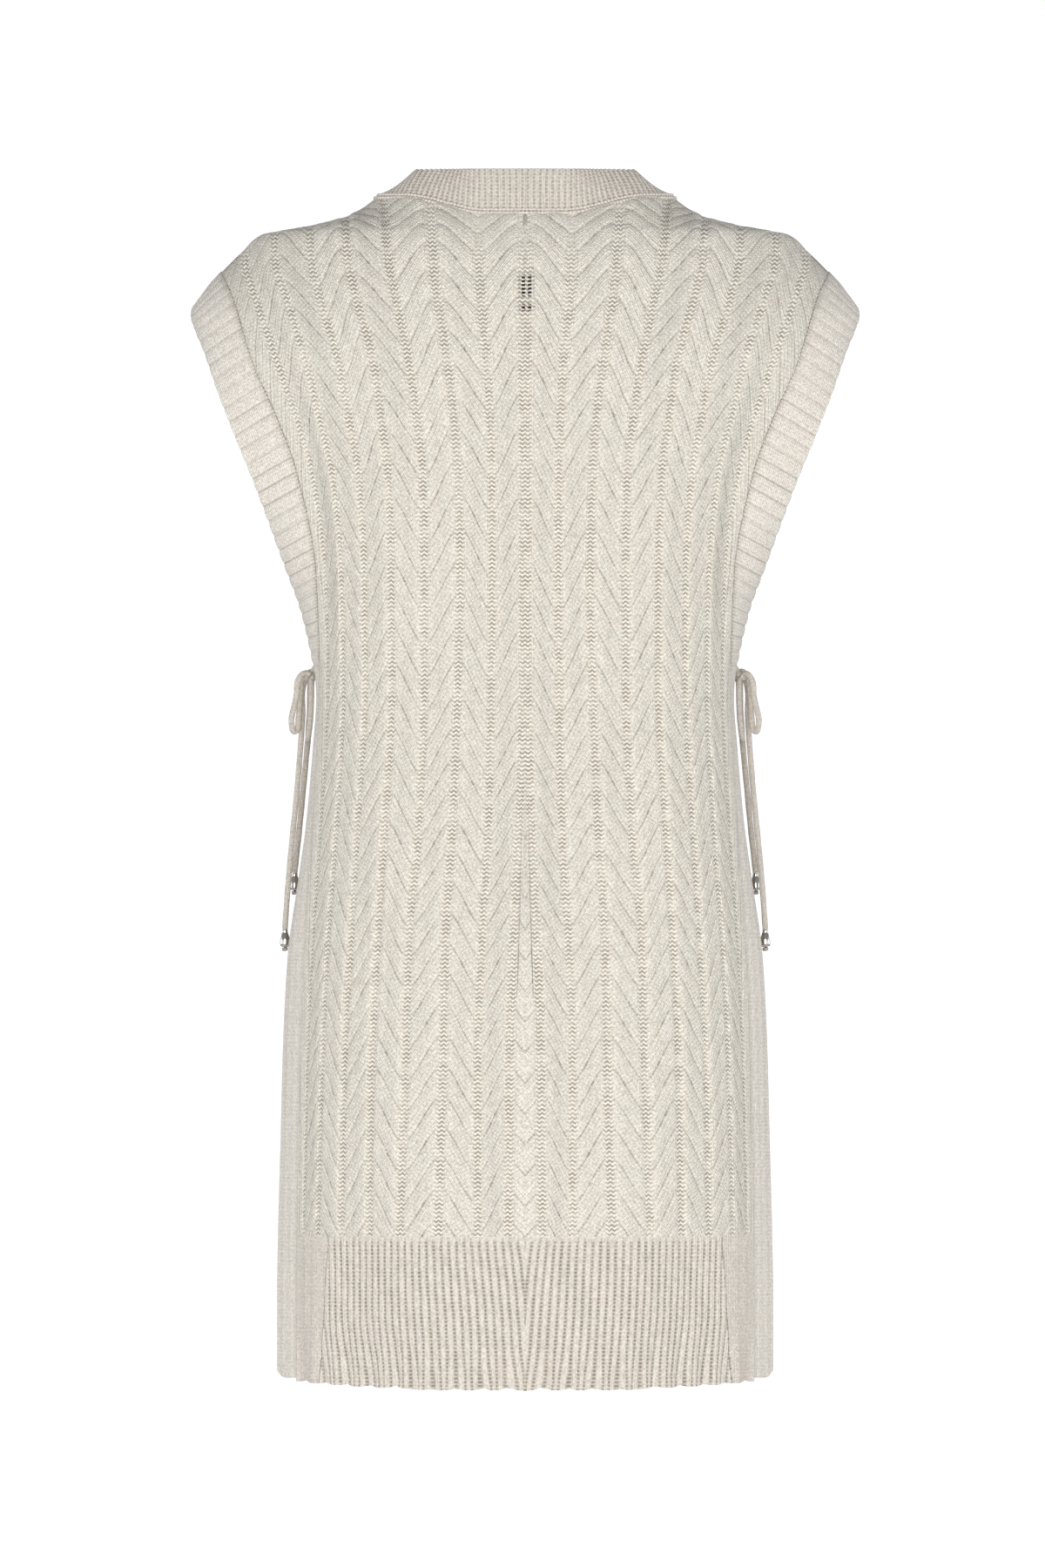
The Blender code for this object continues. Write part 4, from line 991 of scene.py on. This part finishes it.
def hem_piece(which, side):
    """1x1 rib under a panel; its ribs lean towards the centre on their way down."""
    settings = bpy.context.scene.tunic_knit
    top = HEM_SEAM_HEIGHT
    fine = np.linspace(0.0, 1.0, 400)
    seam = STRIPE["seam"](-740.0)
    line = cloth_point(seam * fine, np.full_like(fine, -740.0), side)
    arc = length_along(line)
    ribs = int(arc[-1] / settings.hem_rib_pitch)
    half = np.linspace(0.0, arc[-1], ribs * 8 + 1)
    arcs = np.concatenate((-half[:0:-1], half))
    shares = np.sign(arcs) * np.interp(np.abs(arcs), arc, fine)
    down = np.linspace(0.0, 1.0, HEM_ROWS)
    seams = STRIPE["seam"](top + (HEM_SIDE_HEIGHT - top) * down)
    across = shares[:, None] * seams[None, :]
    edge = hem_edge(across)
    heights = edge + (top - edge) * (1.0 - down[None, :])
    ground = cloth_point(across, heights, side)
    normal = outward(across, heights, side)
    lean = HEM_LEAN * np.exp(-np.abs(arcs)[:, None] / HEM_LEAN_SPAN) * down[None, :]
    lean = lean * (1.0 - 0.12 * down[None, :])
    flare = smooth_step(down, 0.5, 1.0)[None, :] * smooth_step(np.abs(arcs), 60.0, 110.0)[:, None]
    gather = smooth_step(down, 0.72, 1.0)[None, :] * np.sin(2.0 * math.pi * hem_gather(across))
    lean = lean + HEM_FLARE * flare - 1.1 * gather * np.sign(across)
    waver = 0.08 * np.sin(heights / 17.0 + arcs[:, None] / 23.0)
    waver = waver + 0.03 * np.sin(heights / 6.5 + arcs[:, None])
    number = (np.abs(arcs)[:, None] + lean) / (arc[-1] / ribs) + waver
    ridge, mask = rib_form(number, HEM_RIDGE_SHARE)
    reach = HEM_RIB_REACH + 6.0 * down[None, :]
    ribbed = smooth_step(reach - np.abs(across), -5.0, 2.0)
    faint = sum(np.exp(-((np.abs(across) - place) / 1.3) ** 2) for place in HEM_FAINT_RIBS)
    ridge = ridge * ribbed + (0.35 + 0.3 * faint) * (1.0 - ribbed)
    mask = mask * ribbed + (1.0 - 0.25 * faint) * (1.0 - ribbed)
    late = 0.012 + 0.012 * np.sin(np.floor(number) * 2.4)
    start = smooth_step(down[None, :] - late, -0.01, 0.03)
    ridge = 0.55 + (ridge - 0.55) * start
    mask = 1.0 - (1.0 - mask) * start
    wave = smooth_step(down, 0.45, 1.0)[None, :] * -1.2 * np.cos(2.0 * math.pi * hem_gather(across))
    folds = fold_depth(across, heights, side)
    fade = smooth_step(np.abs(arcs), arc[-1], arc[-1] - 4.0)[:, None]
    outer = ground + normal * (ridge * settings.rib_raise + folds + wave * fade)[..., None]
    inner = ground + normal * (folds + wave * fade - settings.wall)[..., None]
    wales = np.where(ribbed > 0.5, rib_coordinate(number, HEM_RIDGE_SHARE),
                     np.abs(arcs)[:, None] / STITCH_WIDTH)
    cloth = np.stack((wales, -heights / STITCH_HEIGHT), axis=-1)
    name = which + "_hem_knit"
    mesh = thin_shell(name, outer, inner, side, {"cloth": cloth}, {"cable": mask})
    item = put_out(name, mesh, yarn("rib_knit_wool"), [which + "_hem_rib"])
    declare_sheet(ground)
    return item


def neck_line(count):
    """Points of the neck seam from the centre back over the neck point to the V, with normals."""
    back = NECK_HALF_WIDTH * np.sin(np.linspace(0.0, math.pi / 2.0, 200))
    front = NECK_HALF_WIDTH * np.cos(np.linspace(0.0, math.pi / 2.0, 400))[1:]
    points = np.concatenate((cloth_point(back, neck_height(back, 1), 1),
                             cloth_point(front, neck_height(front, -1), -1)))
    normals = np.concatenate((outward(back, neck_height(back, 1) - NECK_NORMAL_DROP, 1),
                              outward(front, neck_height(front, -1) - NECK_NORMAL_DROP, -1)))
    length = length_along(points)
    tangents = np.gradient(points, length, axis=0)
    at = np.linspace(0.0, length[-1], count)

    def along(values):
        return np.stack([np.interp(at, length, values[:, k]) for k in range(3)], axis=-1)

    return at, along(points), along(normals), along(tangents)


def neck_slope(count):
    """Neck seam with the direction up the panel and out of it at each point."""
    at, seam, normal, tangent = neck_line(count)
    rise = np.cross(normal, tangent)
    rise *= np.where(rise[:, 2:] < 0.0, -1.0, 1.0)
    rise /= np.linalg.norm(rise, axis=1, keepdims=True)
    normal /= np.linalg.norm(normal, axis=1, keepdims=True)
    return at, seam, rise, normal, tangent


def neck_frame(count):
    """Neck seam with the direction up the band and out of it at each point."""
    at, seam, rise, normal, tangent = neck_slope(count)
    share = (np.maximum(seam[:, 1], 0.0) / seam[0, 1])[:, None] ** NECKBAND_TURN
    rise = rise * (1.0 - share) + np.array((0.0, NECKBAND_LEAN, 1.0)) * share
    rise[:, 2] *= 1.0 - NECKBAND_FALL * np.exp(-(seam[:, 1] / 18.0) ** 2)
    rise /= np.linalg.norm(rise, axis=1, keepdims=True)
    out = np.cross(tangent, rise)
    out *= np.where((out * normal).sum(axis=1, keepdims=True) < 0.0, -1.0, 1.0)
    out /= np.linalg.norm(out, axis=1, keepdims=True)
    return at, seam, rise, out


def neck_piece(name):
    """1x1 rib strip that stands on the neck seam, mitred where its ends meet at the V."""
    settings = bpy.context.scene.tunic_knit
    total = neck_line(2)[0][-1]
    ribs = int(total / settings.neck_rib_pitch)
    at, seam, rise, out = neck_frame(ribs * 7 + 1)
    behind = smooth_step(seam[:, 1], 6.0, 24.0)
    level = (NECKBAND_TOP - seam[:, 2]) / rise[:, 2]
    width = NECKBAND_WIDTH * (1.0 - behind) + level * behind
    inward = rise[:, 0] < 0.0
    width[inward] = np.minimum(width[inward], (seam[inward, 0] - 0.15) / -rise[inward, 0])
    kept = width > 0.3
    at, seam, rise, out, width = (values[kept] for values in (at, seam, rise, out, width))
    up = np.linspace(0.0, 1.0, NECKBAND_ROWS)[None, :, None]
    ground = seam[:, None] + rise[:, None] * (0.1 + (width[:, None, None] - 0.1) * up)
    ground = ground + out[:, None] * (0.8 * np.sin(up * math.pi))
    number = at[:, None] / (total / ribs) + 0.5 + 0.10 * np.sin(up[..., 0] * 3.0 + at[:, None] / 30.0)
    ridge, mask = rib_form(number)
    mask = 1.0 - (1.0 - mask) * 0.68
    rolled = smooth_step(up[..., 0], 0.90, 1.0) * 0.5
    outer = ground + out[:, None] * (ridge * settings.rib_raise * 0.85 - rolled)[..., None]
    inner = ground - out[:, None] * settings.wall
    cloth = np.stack((rib_coordinate(number), width[:, None] * up[..., 0] / STITCH_HEIGHT + 0.0 * number),
                     axis=-1)

    def whole(values, flip, shift=0.0):
        return np.concatenate((values[:0:-1] * flip + shift, values))

    mirror = np.array((-1.0, 1.0, 1.0))
    whole_cloth = whole(cloth, np.array((-1.0, 1.0)), np.array((1.0, 0.0)))
    mesh = thin_shell(name, whole(outer, mirror), whole(inner, mirror), 1,
                      {"cloth": whole_cloth}, {"cable": whole(mask, 1.0)}, coarse=5)
    item = put_out(name, mesh, yarn("rib_knit_wool"), ["neckband"])
    declare_sheet(whole(ground, mirror))
    return item


def neck_chain(name):
    """Two rows of chain stitches along the neck seam, where the band is linked on."""
    total = neck_line(2)[0][-1]
    stitches = int(total / CHAIN_STITCH)
    at, seam, rise, out, _ = neck_slope(stitches * 6 + 1)
    keep = seam[:, 0] > 0.6
    keep[0] = True
    at, seam, rise, out = (values[keep] for values in (at, seam, rise, out))
    points = []
    faces = []
    around = CHAIN_AROUND
    for row, offset in ((0, -0.6), (1, -3.4)):
        line = seam + rise * offset + out * (0.9 - 0.1 * row)
        bead = 0.70 + 0.55 * np.abs(np.sin(at / CHAIN_STITCH * math.pi))
        turn = np.linspace(0.0, 2.0 * math.pi, around, endpoint=False)
        ring = rise[:, None] * np.cos(turn)[None, :, None]
        ring = ring + out[:, None] * np.sin(turn)[None, :, None] * 0.8
        tube = line[:, None] + ring * bead[:, None, None]
        tube = np.concatenate((tube[:0:-1] * np.array((-1.0, 1.0, 1.0)), tube))
        start = len(points)
        points += tube.reshape(-1, 3).tolist()
        for i in range(len(tube) - 1):
            for k in range(around):
                one = start + i * around + k
                two = start + i * around + (k + 1) % around
                faces.append((one, two, two + around, one + around))
        faces.append(list(range(start, start + around)))
        last = start + (len(tube) - 1) * around
        faces.append(list(range(last + around - 1, last - 1, -1)))
    mesh = new_mesh(name, points, faces)
    mend_normals(mesh)
    along = np.tile(np.concatenate((at[:0:-1], at)).repeat(around), 2) / CHAIN_STITCH
    corners = np.array([loop.vertex_index for loop in mesh.loops])
    cloth = np.stack((np.full(len(corners), 0.25), along[corners]), axis=-1)
    mesh.uv_layers.new(name="cloth").data.foreach_set("uv", cloth.ravel())
    shade_smooth(mesh)
    return put_out(name, mesh, yarn("knitted_cord"), [])


def band_rows(side, spacing):
    """Seam heights down one side of a side band, evenly spaced along the seam, with their length."""
    fine = np.linspace(SHOULDER_SEAM_HEIGHT, HEM_SIDE_HEIGHT, 1500)
    points = cloth_point(STRIPE["seam"](fine), fine, side)
    length = length_along(points)
    count = int(length[-1] / spacing)
    at = np.linspace(0.0, length[-1], count + 1)
    return np.interp(at, length, fine), at


def band_grid(side, spacing, columns):
    """(points, normals, heights, length) of one side of a side band."""
    heights, at = band_rows(side, spacing)
    points = np.zeros((len(heights), columns, 3))
    normals = np.zeros_like(points)
    for i, height in enumerate(heights):
        edge_height = height - float(DROP(height))
        seam = float(STRIPE["seam"](height))
        edge = float(SECTION["half_width"](edge_height))
        share = 1.0 - np.linspace(1.0, 0.0, 60) ** 2
        level = height + (edge_height - height) * share
        across = np.minimum(seam + (edge - seam) * share, SECTION["half_width"](level))
        line = cloth_point(across, level, side)
        if i == 0:
            line[:, 1] = 0.0
        steps = length_along(line)
        far = np.linspace(0.0, steps[-1], columns)
        points[i] = np.stack([np.interp(far, steps, line[:, k]) for k in range(3)], axis=-1)
        normals[i] = outward(np.interp(far, steps, across), np.interp(far, steps, level), side)
        if i == 0:
            normals[i, :, 1] = 0.0
            normals[i] /= np.linalg.norm(normals[i], axis=1, keepdims=True)
    return points, normals, heights, at


def band_piece(label, sign):
    """Strip from the back hem over the shoulder to the front hem, ribbed down to the tie."""
    settings = bpy.context.scene.tunic_knit
    columns = BAND_COLUMNS
    place = np.linspace(0.0, 1.0, columns)
    halves = []
    for side in (1, -1):
        points, normals, heights, at = band_grid(side, BAND_STEP, columns)
        end = np.interp(-BAND_RIB_END_HEIGHT, -heights, at)
        number = at / settings.band_rib_pitch
        fade = 1.0 - smooth_step(at, end - 8.0, end + 4.0)
        ridge, mask = rib_form(number[:, None] + np.zeros(columns), BAND_RIDGE_SHARE)
        bold = (0.6 + 0.4 * smooth_step(-heights, 95.0, 190.0))[:, None]
        ridge = 1.0 - (1.0 - ridge) * bold
        mask = 1.0 - (1.0 - mask) * bold
        low = smooth_step(-heights, -HEM_SIDE_HEIGHT - 14.0, -HEM_SIDE_HEIGHT)
        points[..., 2] += BAND_CORNER_DROP * low[:, None] * place[None, :] ** 3
        points[..., 2] += 0.9 * np.cos(place * 4.0) * low[:, None]
        soft = np.sin(place * math.pi)[None, :] * (0.5 + 0.5 * low[:, None])
        line = 0.25 * np.cos(place * 2.0 * math.pi * 3.0)[None, :]
        rise = ridge * 0.8 * fade[:, None] + soft + line * (1.0 - fade[:, None])
        joined = np.exp(-(np.arange(columns) / 1.2) ** 2)[None, :] * (0.35 + 0.65 * fade[:, None])
        joined = 1.0 - 0.75 * joined
        knit = (mask * fade[:, None] + 1.0 - fade[:, None]) * joined
        across = np.broadcast_to(np.linspace(0.0, BAND_STITCHES, columns)[None, :], ridge.shape)
        rows = np.broadcast_to((at / STITCH_HEIGHT)[:, None], ridge.shape)
        halves.append((points, normals, rise, knit, across, rows * side))
    order = [np.concatenate((one[::-1], two[1:])) for one, two in zip(halves[0], halves[1])]
    points, normals, rise, knit, across, rows = order
    flip = np.array((sign, 1.0, 1.0))
    outer = (points + normals * rise[..., None]) * flip
    inner = (points - normals * settings.wall) * flip
    cloth = np.stack((across, rows), axis=-1)
    marks = {"cable": knit, "pale": np.ones_like(knit)}
    name = "side_band_%s_knit" % label
    mesh = thin_shell(name, outer, inner, sign, {"cloth": cloth}, marks, coarse=6)
    item = put_out(name, mesh, yarn("rib_knit_wool"), ["side_band_" + label])
    declare_sheet(points * flip)
    return item


# ---------------------------------------------------------------- ties

def smooth_route(route, spacing):
    """Evenly spaced points of a smooth curve through given points."""
    route = [Vector(place) for place in route]
    fine = []
    for i in range(len(route) - 1):
        before = route[max(i - 1, 0)]
        start = route[i]
        end = route[i + 1]
        after = route[min(i + 2, len(route) - 1)]
        for k in range(16):
            t = k / 16.0
            pull = (end - before) * 0.5
            push = (after - start) * 0.5
            fine.append(start * (1 + 2 * t) * (1 - t) ** 2 + end * t * t * (3 - 2 * t)
                        + pull * t * (1 - t) ** 2 - push * t * t * (1 - t))
    fine.append(route[-1])
    fine = np.array([list(point) for point in fine])
    length = length_along(fine)
    at = np.linspace(0.0, length[-1], max(int(length[-1] / spacing), 8) + 1)
    return np.stack([np.interp(at, length, fine[:, k]) for k in range(3)], axis=-1), at


def knitted_tube(name, line, at, radius, around, closed=False):
    """Round tube along a line, with its stitch coordinates."""
    count = len(line)
    if closed:
        tangent = np.roll(line, -1, axis=0) - np.roll(line, 1, axis=0)
    else:
        tangent = np.gradient(line, axis=0)
    tangent /= np.linalg.norm(tangent, axis=1, keepdims=True)
    side = np.cross(tangent[0], (0.0, 0.0, 1.0))
    if np.linalg.norm(side) < 0.2:
        side = np.cross(tangent[0], (0.0, 1.0, 0.0))
    sides = []
    for one in tangent:
        side = side - one * np.dot(side, one)
        side = side / np.linalg.norm(side)
        sides.append(side)
    sides = np.array(sides)
    ups = np.cross(tangent, sides)
    turn = np.linspace(0.0, 2.0 * math.pi, around, endpoint=False)
    swell = radius * (1.0 + 0.03 * np.sin(at * 2.6) + 0.03 * np.sin(at * 0.31))
    rings = (sides[:, None] * np.cos(turn)[None, :, None] + ups[:, None] * np.sin(turn)[None, :, None])
    points = line[:, None] + rings * swell[:, None, None]
    faces = []
    layer = []
    last = count if closed else count - 1
    for i in range(last):
        j = (i + 1) % count
        for k in range(around):
            m = (k + 1) % around
            faces.append((i * around + k, i * around + m, j * around + m, j * around + k))
            low = CORD_WALES * k / around
            high = CORD_WALES * (k + 1) / around
            start = at[i] / CORD_STITCH
            end = (at[i] + (at[1] - at[0])) / CORD_STITCH
            layer += [(low, start), (high, start), (high, end), (low, end)]
    if not closed:
        faces.append(list(range(around))[::-1])
        faces.append(list(range((count - 1) * around, count * around)))
        layer += [(0.5, 0.0)] * (2 * around)
    mesh = new_mesh(name, points.reshape(-1, 3), faces)
    mesh.uv_layers.new(name="cloth").data.foreach_set("uv", np.array(layer, dtype=np.float32).ravel())
    shade_smooth(mesh)
    mend_normals(mesh)
    return mesh


def knot_piece(name, centre, radii, strand, nodes):
    """A tight knot: one strand wound over itself inside the given radii."""
    turn = np.linspace(0.0, 2.0 * math.pi, 180, endpoint=False)
    reach = 1.0 + 0.46 * np.cos(3.0 * turn)
    line = np.stack((np.cos(2.0 * turn) * reach, np.sin(2.0 * turn) * reach, 0.62 * np.sin(3.0 * turn)),
                    axis=-1)
    line = line[:, (2, 0, 1)]
    size = np.abs(line).max(axis=0)
    line = line / size * (np.array(radii) - strand)
    line = line + np.array(centre)
    mesh = knitted_tube(name, line, length_along(line), strand, 12, closed=True)
    return put_out(name, mesh, yarn("knitted_cord"), nodes)


def bell_piece(name, top, node):
    """Turned metal teardrop, hung by its narrow top."""
    settings = bpy.context.scene.tunic_tie
    steps = settings.bell_steps
    points = []
    faces = []
    rings = []
    for drop, radius in BELL_PROFILE:
        if radius == 0.0:
            rings.append([len(points)])
            points.append((top[0], top[1], top[2] - drop))
            continue
        ring = []
        for k in range(steps):
            turn = 2.0 * math.pi * k / steps
            ring.append(len(points))
            points.append((top[0] + radius * math.cos(turn), top[1] + radius * math.sin(turn), top[2] - drop))
        rings.append(ring)
    for one, two in zip(rings, rings[1:]):
        for k in range(steps):
            m = (k + 1) % steps
            if len(one) == 1:
                faces.append((one[0], two[k], two[m]))
            elif len(two) == 1:
                faces.append((one[k], two[0], one[m]))
            else:
                faces.append((one[k], two[k], two[m], one[m]))
    mesh = new_mesh(name, points, faces)
    mend_normals(mesh)
    shade_smooth(mesh)
    made = bpy.data.materials.get("polished_nickel") or nickel(settings)
    return put_out(name, mesh, made, [node])


def bow(sign):
    """One side's bow: the knot, and two cords that each run from a band to a belled end."""
    settings = bpy.context.scene.tunic_tie
    label = "left" if sign > 0 else "right"
    flip = np.array((sign, 1.0, 1.0))
    strand = CORD_DIAMETER / 2.0
    knot_piece("bow_knot_" + label, np.array(KNOT_CENTRE) * flip, KNOT_RADII, strand,
               ["tie_%s_knot" % label])
    for which, route in CORD_ROUTES.items():
        line, at = smooth_route(route, settings.step / MM)
        line = line * flip
        mesh = knitted_tube("bow_cord_%s_%s" % (label, which), line, at, strand, settings.rings)
        nodes = ["tie_%s_%s_%s" % (label, part, which) for part in ("end", "loop", "tail")]
        cord = put_out("bow_cord_%s_%s" % (label, which), mesh, yarn("knitted_cord"), nodes)
        end = line[-1]
        top = (end[0], end[1], end[2] - 0.1)
        bell = bell_piece("bell_end_%s_%s" % (label, which), top, "bell_%s_%s" % (label, which))
        foot = (top[0], top[1], top[2] - BELL_LENGTH - 1.3)
        stop = knot_piece("bell_stop_%s_%s" % (label, which), foot, (2.0, 2.0, 1.4), 0.75,
                          ["bell_knot_%s_%s" % (label, which)])


# ---------------------------------------------------------------- operators

class TUNIC_OT_panels(bpy.types.Operator):
    """Knit the back and front panels"""
    bl_idname = "tunic.panels"
    bl_label = "Cable panels"

    def execute(self, context):
        knit_panel("back", 1)
        knit_panel("front", -1)
        return {"FINISHED"}


class TUNIC_OT_hems(bpy.types.Operator):
    """Knit the ribs under both panels"""
    bl_idname = "tunic.hems"
    bl_label = "Hem ribs"

    def execute(self, context):
        hem_piece("back", 1)
        hem_piece("front", -1)
        return {"FINISHED"}


class TUNIC_OT_neck(bpy.types.Operator):
    """Knit the neckband and link it on"""
    bl_idname = "tunic.neck"
    bl_label = "Neckband"

    def execute(self, context):
        neck_piece("neckband_knit")
        neck_chain("neck_chain")
        return {"FINISHED"}


class TUNIC_OT_bands(bpy.types.Operator):
    """Knit the two side bands"""
    bl_idname = "tunic.bands"
    bl_label = "Side bands"

    def execute(self, context):
        band_piece("left", 1)
        band_piece("right", -1)
        return {"FINISHED"}


class TUNIC_OT_bows(bpy.types.Operator):
    """Tie the bow at each side and hang its bell ends"""
    bl_idname = "tunic.bows"
    bl_label = "Bows"

    def execute(self, context):
        bow(1)
        bow(-1)
        return {"FINISHED"}


class TUNIC_OT_stage(bpy.types.Operator):
    """Set up the floor, the lights and the camera"""
    bl_idname = "tunic.stage"
    bl_label = "Stage"

    def execute(self, context):
        settings = context.scene.tunic_stage
        lay_floor(settings)
        light_room(context, settings)
        stand_camera(context, settings)
        return {"FINISHED"}


def lay_floor(settings):
    """A round pale floor under the garment."""
    shape = bmesh.new()
    bmesh.ops.create_circle(shape, cap_ends=True, segments=96, radius=1.3)
    mesh = bpy.data.meshes.new("floor")
    shape.to_mesh(mesh)
    shape.free()
    floor = bpy.data.objects.new("floor", mesh)
    floor.location = (0.0, 0.0, settings.floor)
    bpy.context.scene.collection.objects.link(floor)
    pale = bpy.data.materials.new("pale_floor")
    pale.use_nodes = True
    shader = pale.node_tree.nodes["Principled BSDF"]
    shader.inputs["Base Color"].default_value = (0.9, 0.9, 0.9, 1.0)
    shader.inputs["Roughness"].default_value = 0.8
    mesh.materials.append(pale)


def light_room(context, settings):
    """A white room, dimmer overhead, with a broad light beside the camera and one at each side."""
    world = bpy.data.worlds.new("room")
    world.use_nodes = True
    context.scene.world = world
    tree = world.node_tree
    back = tree.nodes["Background"]
    place = tree.nodes.new("ShaderNodeTexCoord")
    split = tree.nodes.new("ShaderNodeSeparateXYZ")
    tree.links.new(place.outputs["Generated"], split.inputs["Vector"])
    dim = tree.nodes.new("ShaderNodeMapRange")
    dim.interpolation_type = "SMOOTHSTEP"
    dim.inputs["From Min"].default_value = 0.22
    dim.inputs["From Max"].default_value = 0.42
    dim.inputs["To Min"].default_value = settings.sky
    dim.inputs["To Max"].default_value = settings.sky * 0.26
    height = tree.nodes.new("ShaderNodeMath")
    height.operation = "ABSOLUTE"
    tree.links.new(split.outputs["Z"], height.inputs[0])
    tree.links.new(height.outputs[0], dim.inputs["Value"])
    back.inputs["Color"].default_value = (0.965, 0.985, 1.02, 1.0)
    tree.links.new(dim.outputs["Result"], back.inputs["Strength"])
    for name, place, turn, size, power in (
            ("front_light", (0.0, 2.6, -0.25), (math.pi / 2.0, 0.0, math.pi), 1.8, settings.key),
            ("left_light", (2.2, 0.4, -0.3), (math.pi / 2.0, 0.0, math.pi / 2.0), 1.2, settings.side),
            ("right_light", (-2.2, 0.4, -0.3), (math.pi / 2.0, 0.0, -math.pi / 2.0), 1.2, settings.side),
            ("chest_light", (0.0, -2.6, -0.25), (math.pi / 2.0, 0.0, 0.0), 1.8, settings.key)):
        lamp = bpy.data.lights.new(name, "AREA")
        lamp.size = size
        lamp.energy = power
        lamp.color = (1.0, 0.985, 0.955)
        item = bpy.data.objects.new(name, lamp)
        item.location = place
        item.rotation_euler = turn
        item.visible_camera = False
        context.scene.collection.objects.link(item)


def stand_camera(context, settings):
    """Long lens straight at the back, framed as the photograph is."""
    camera = bpy.data.cameras.new("camera")
    camera.sensor_fit = "VERTICAL"
    camera.sensor_height = 24.0
    camera.lens = 24.0 * settings.distance / settings.frame_height
    camera.clip_end = 60.0
    item = bpy.data.objects.new("camera", camera)
    middle = settings.middle
    item.location = (middle[0], middle[1] + settings.distance, middle[2])
    item.rotation_euler = (math.pi / 2.0, 0.0, math.pi)
    context.scene.collection.objects.link(item)
    context.scene.camera = item
    context.scene.view_settings.view_transform = "Standard"


class TUNIC_PT_tools(bpy.types.Panel):
    bl_label = "Tunic"
    bl_idname = "TUNIC_PT_tools"
    bl_space_type = "VIEW_3D"
    bl_region_type = "UI"
    bl_category = "Tunic"

    def draw(self, context):
        layout = self.layout
        for step in STEPS:
            layout.operator(step.bl_idname)
        for settings in (context.scene.tunic_knit, context.scene.tunic_tie, context.scene.tunic_stage):
            box = layout.box()
            for name in settings.bl_rna.properties.keys():
                if name not in ("rna_type", "name"):
                    box.prop(settings, name)


STEPS = (TUNIC_OT_stage, TUNIC_OT_bows, TUNIC_OT_panels, TUNIC_OT_hems, TUNIC_OT_neck, TUNIC_OT_bands)
GROUPS = {"tunic_knit": KnitSettings, "tunic_tie": TieSettings, "tunic_stage": StageSettings}


def register():
    for group in GROUPS.values():
        bpy.utils.register_class(group)
    for step in STEPS:
        bpy.utils.register_class(step)
    bpy.utils.register_class(TUNIC_PT_tools)
    for name, group in GROUPS.items():
        setattr(bpy.types.Scene, name, PointerProperty(type=group))


def unregister():
    for name in GROUPS:
        delattr(bpy.types.Scene, name)
    bpy.utils.unregister_class(TUNIC_PT_tools)
    for step in reversed(STEPS):
        bpy.utils.unregister_class(step)
    for group in reversed(list(GROUPS.values())):
        bpy.utils.unregister_class(group)


def main():
    register()
    for step in STEPS:
        family, action = step.bl_idname.split(".")
        getattr(getattr(bpy.ops, family), action)()


if __name__ == "__main__":
    main()
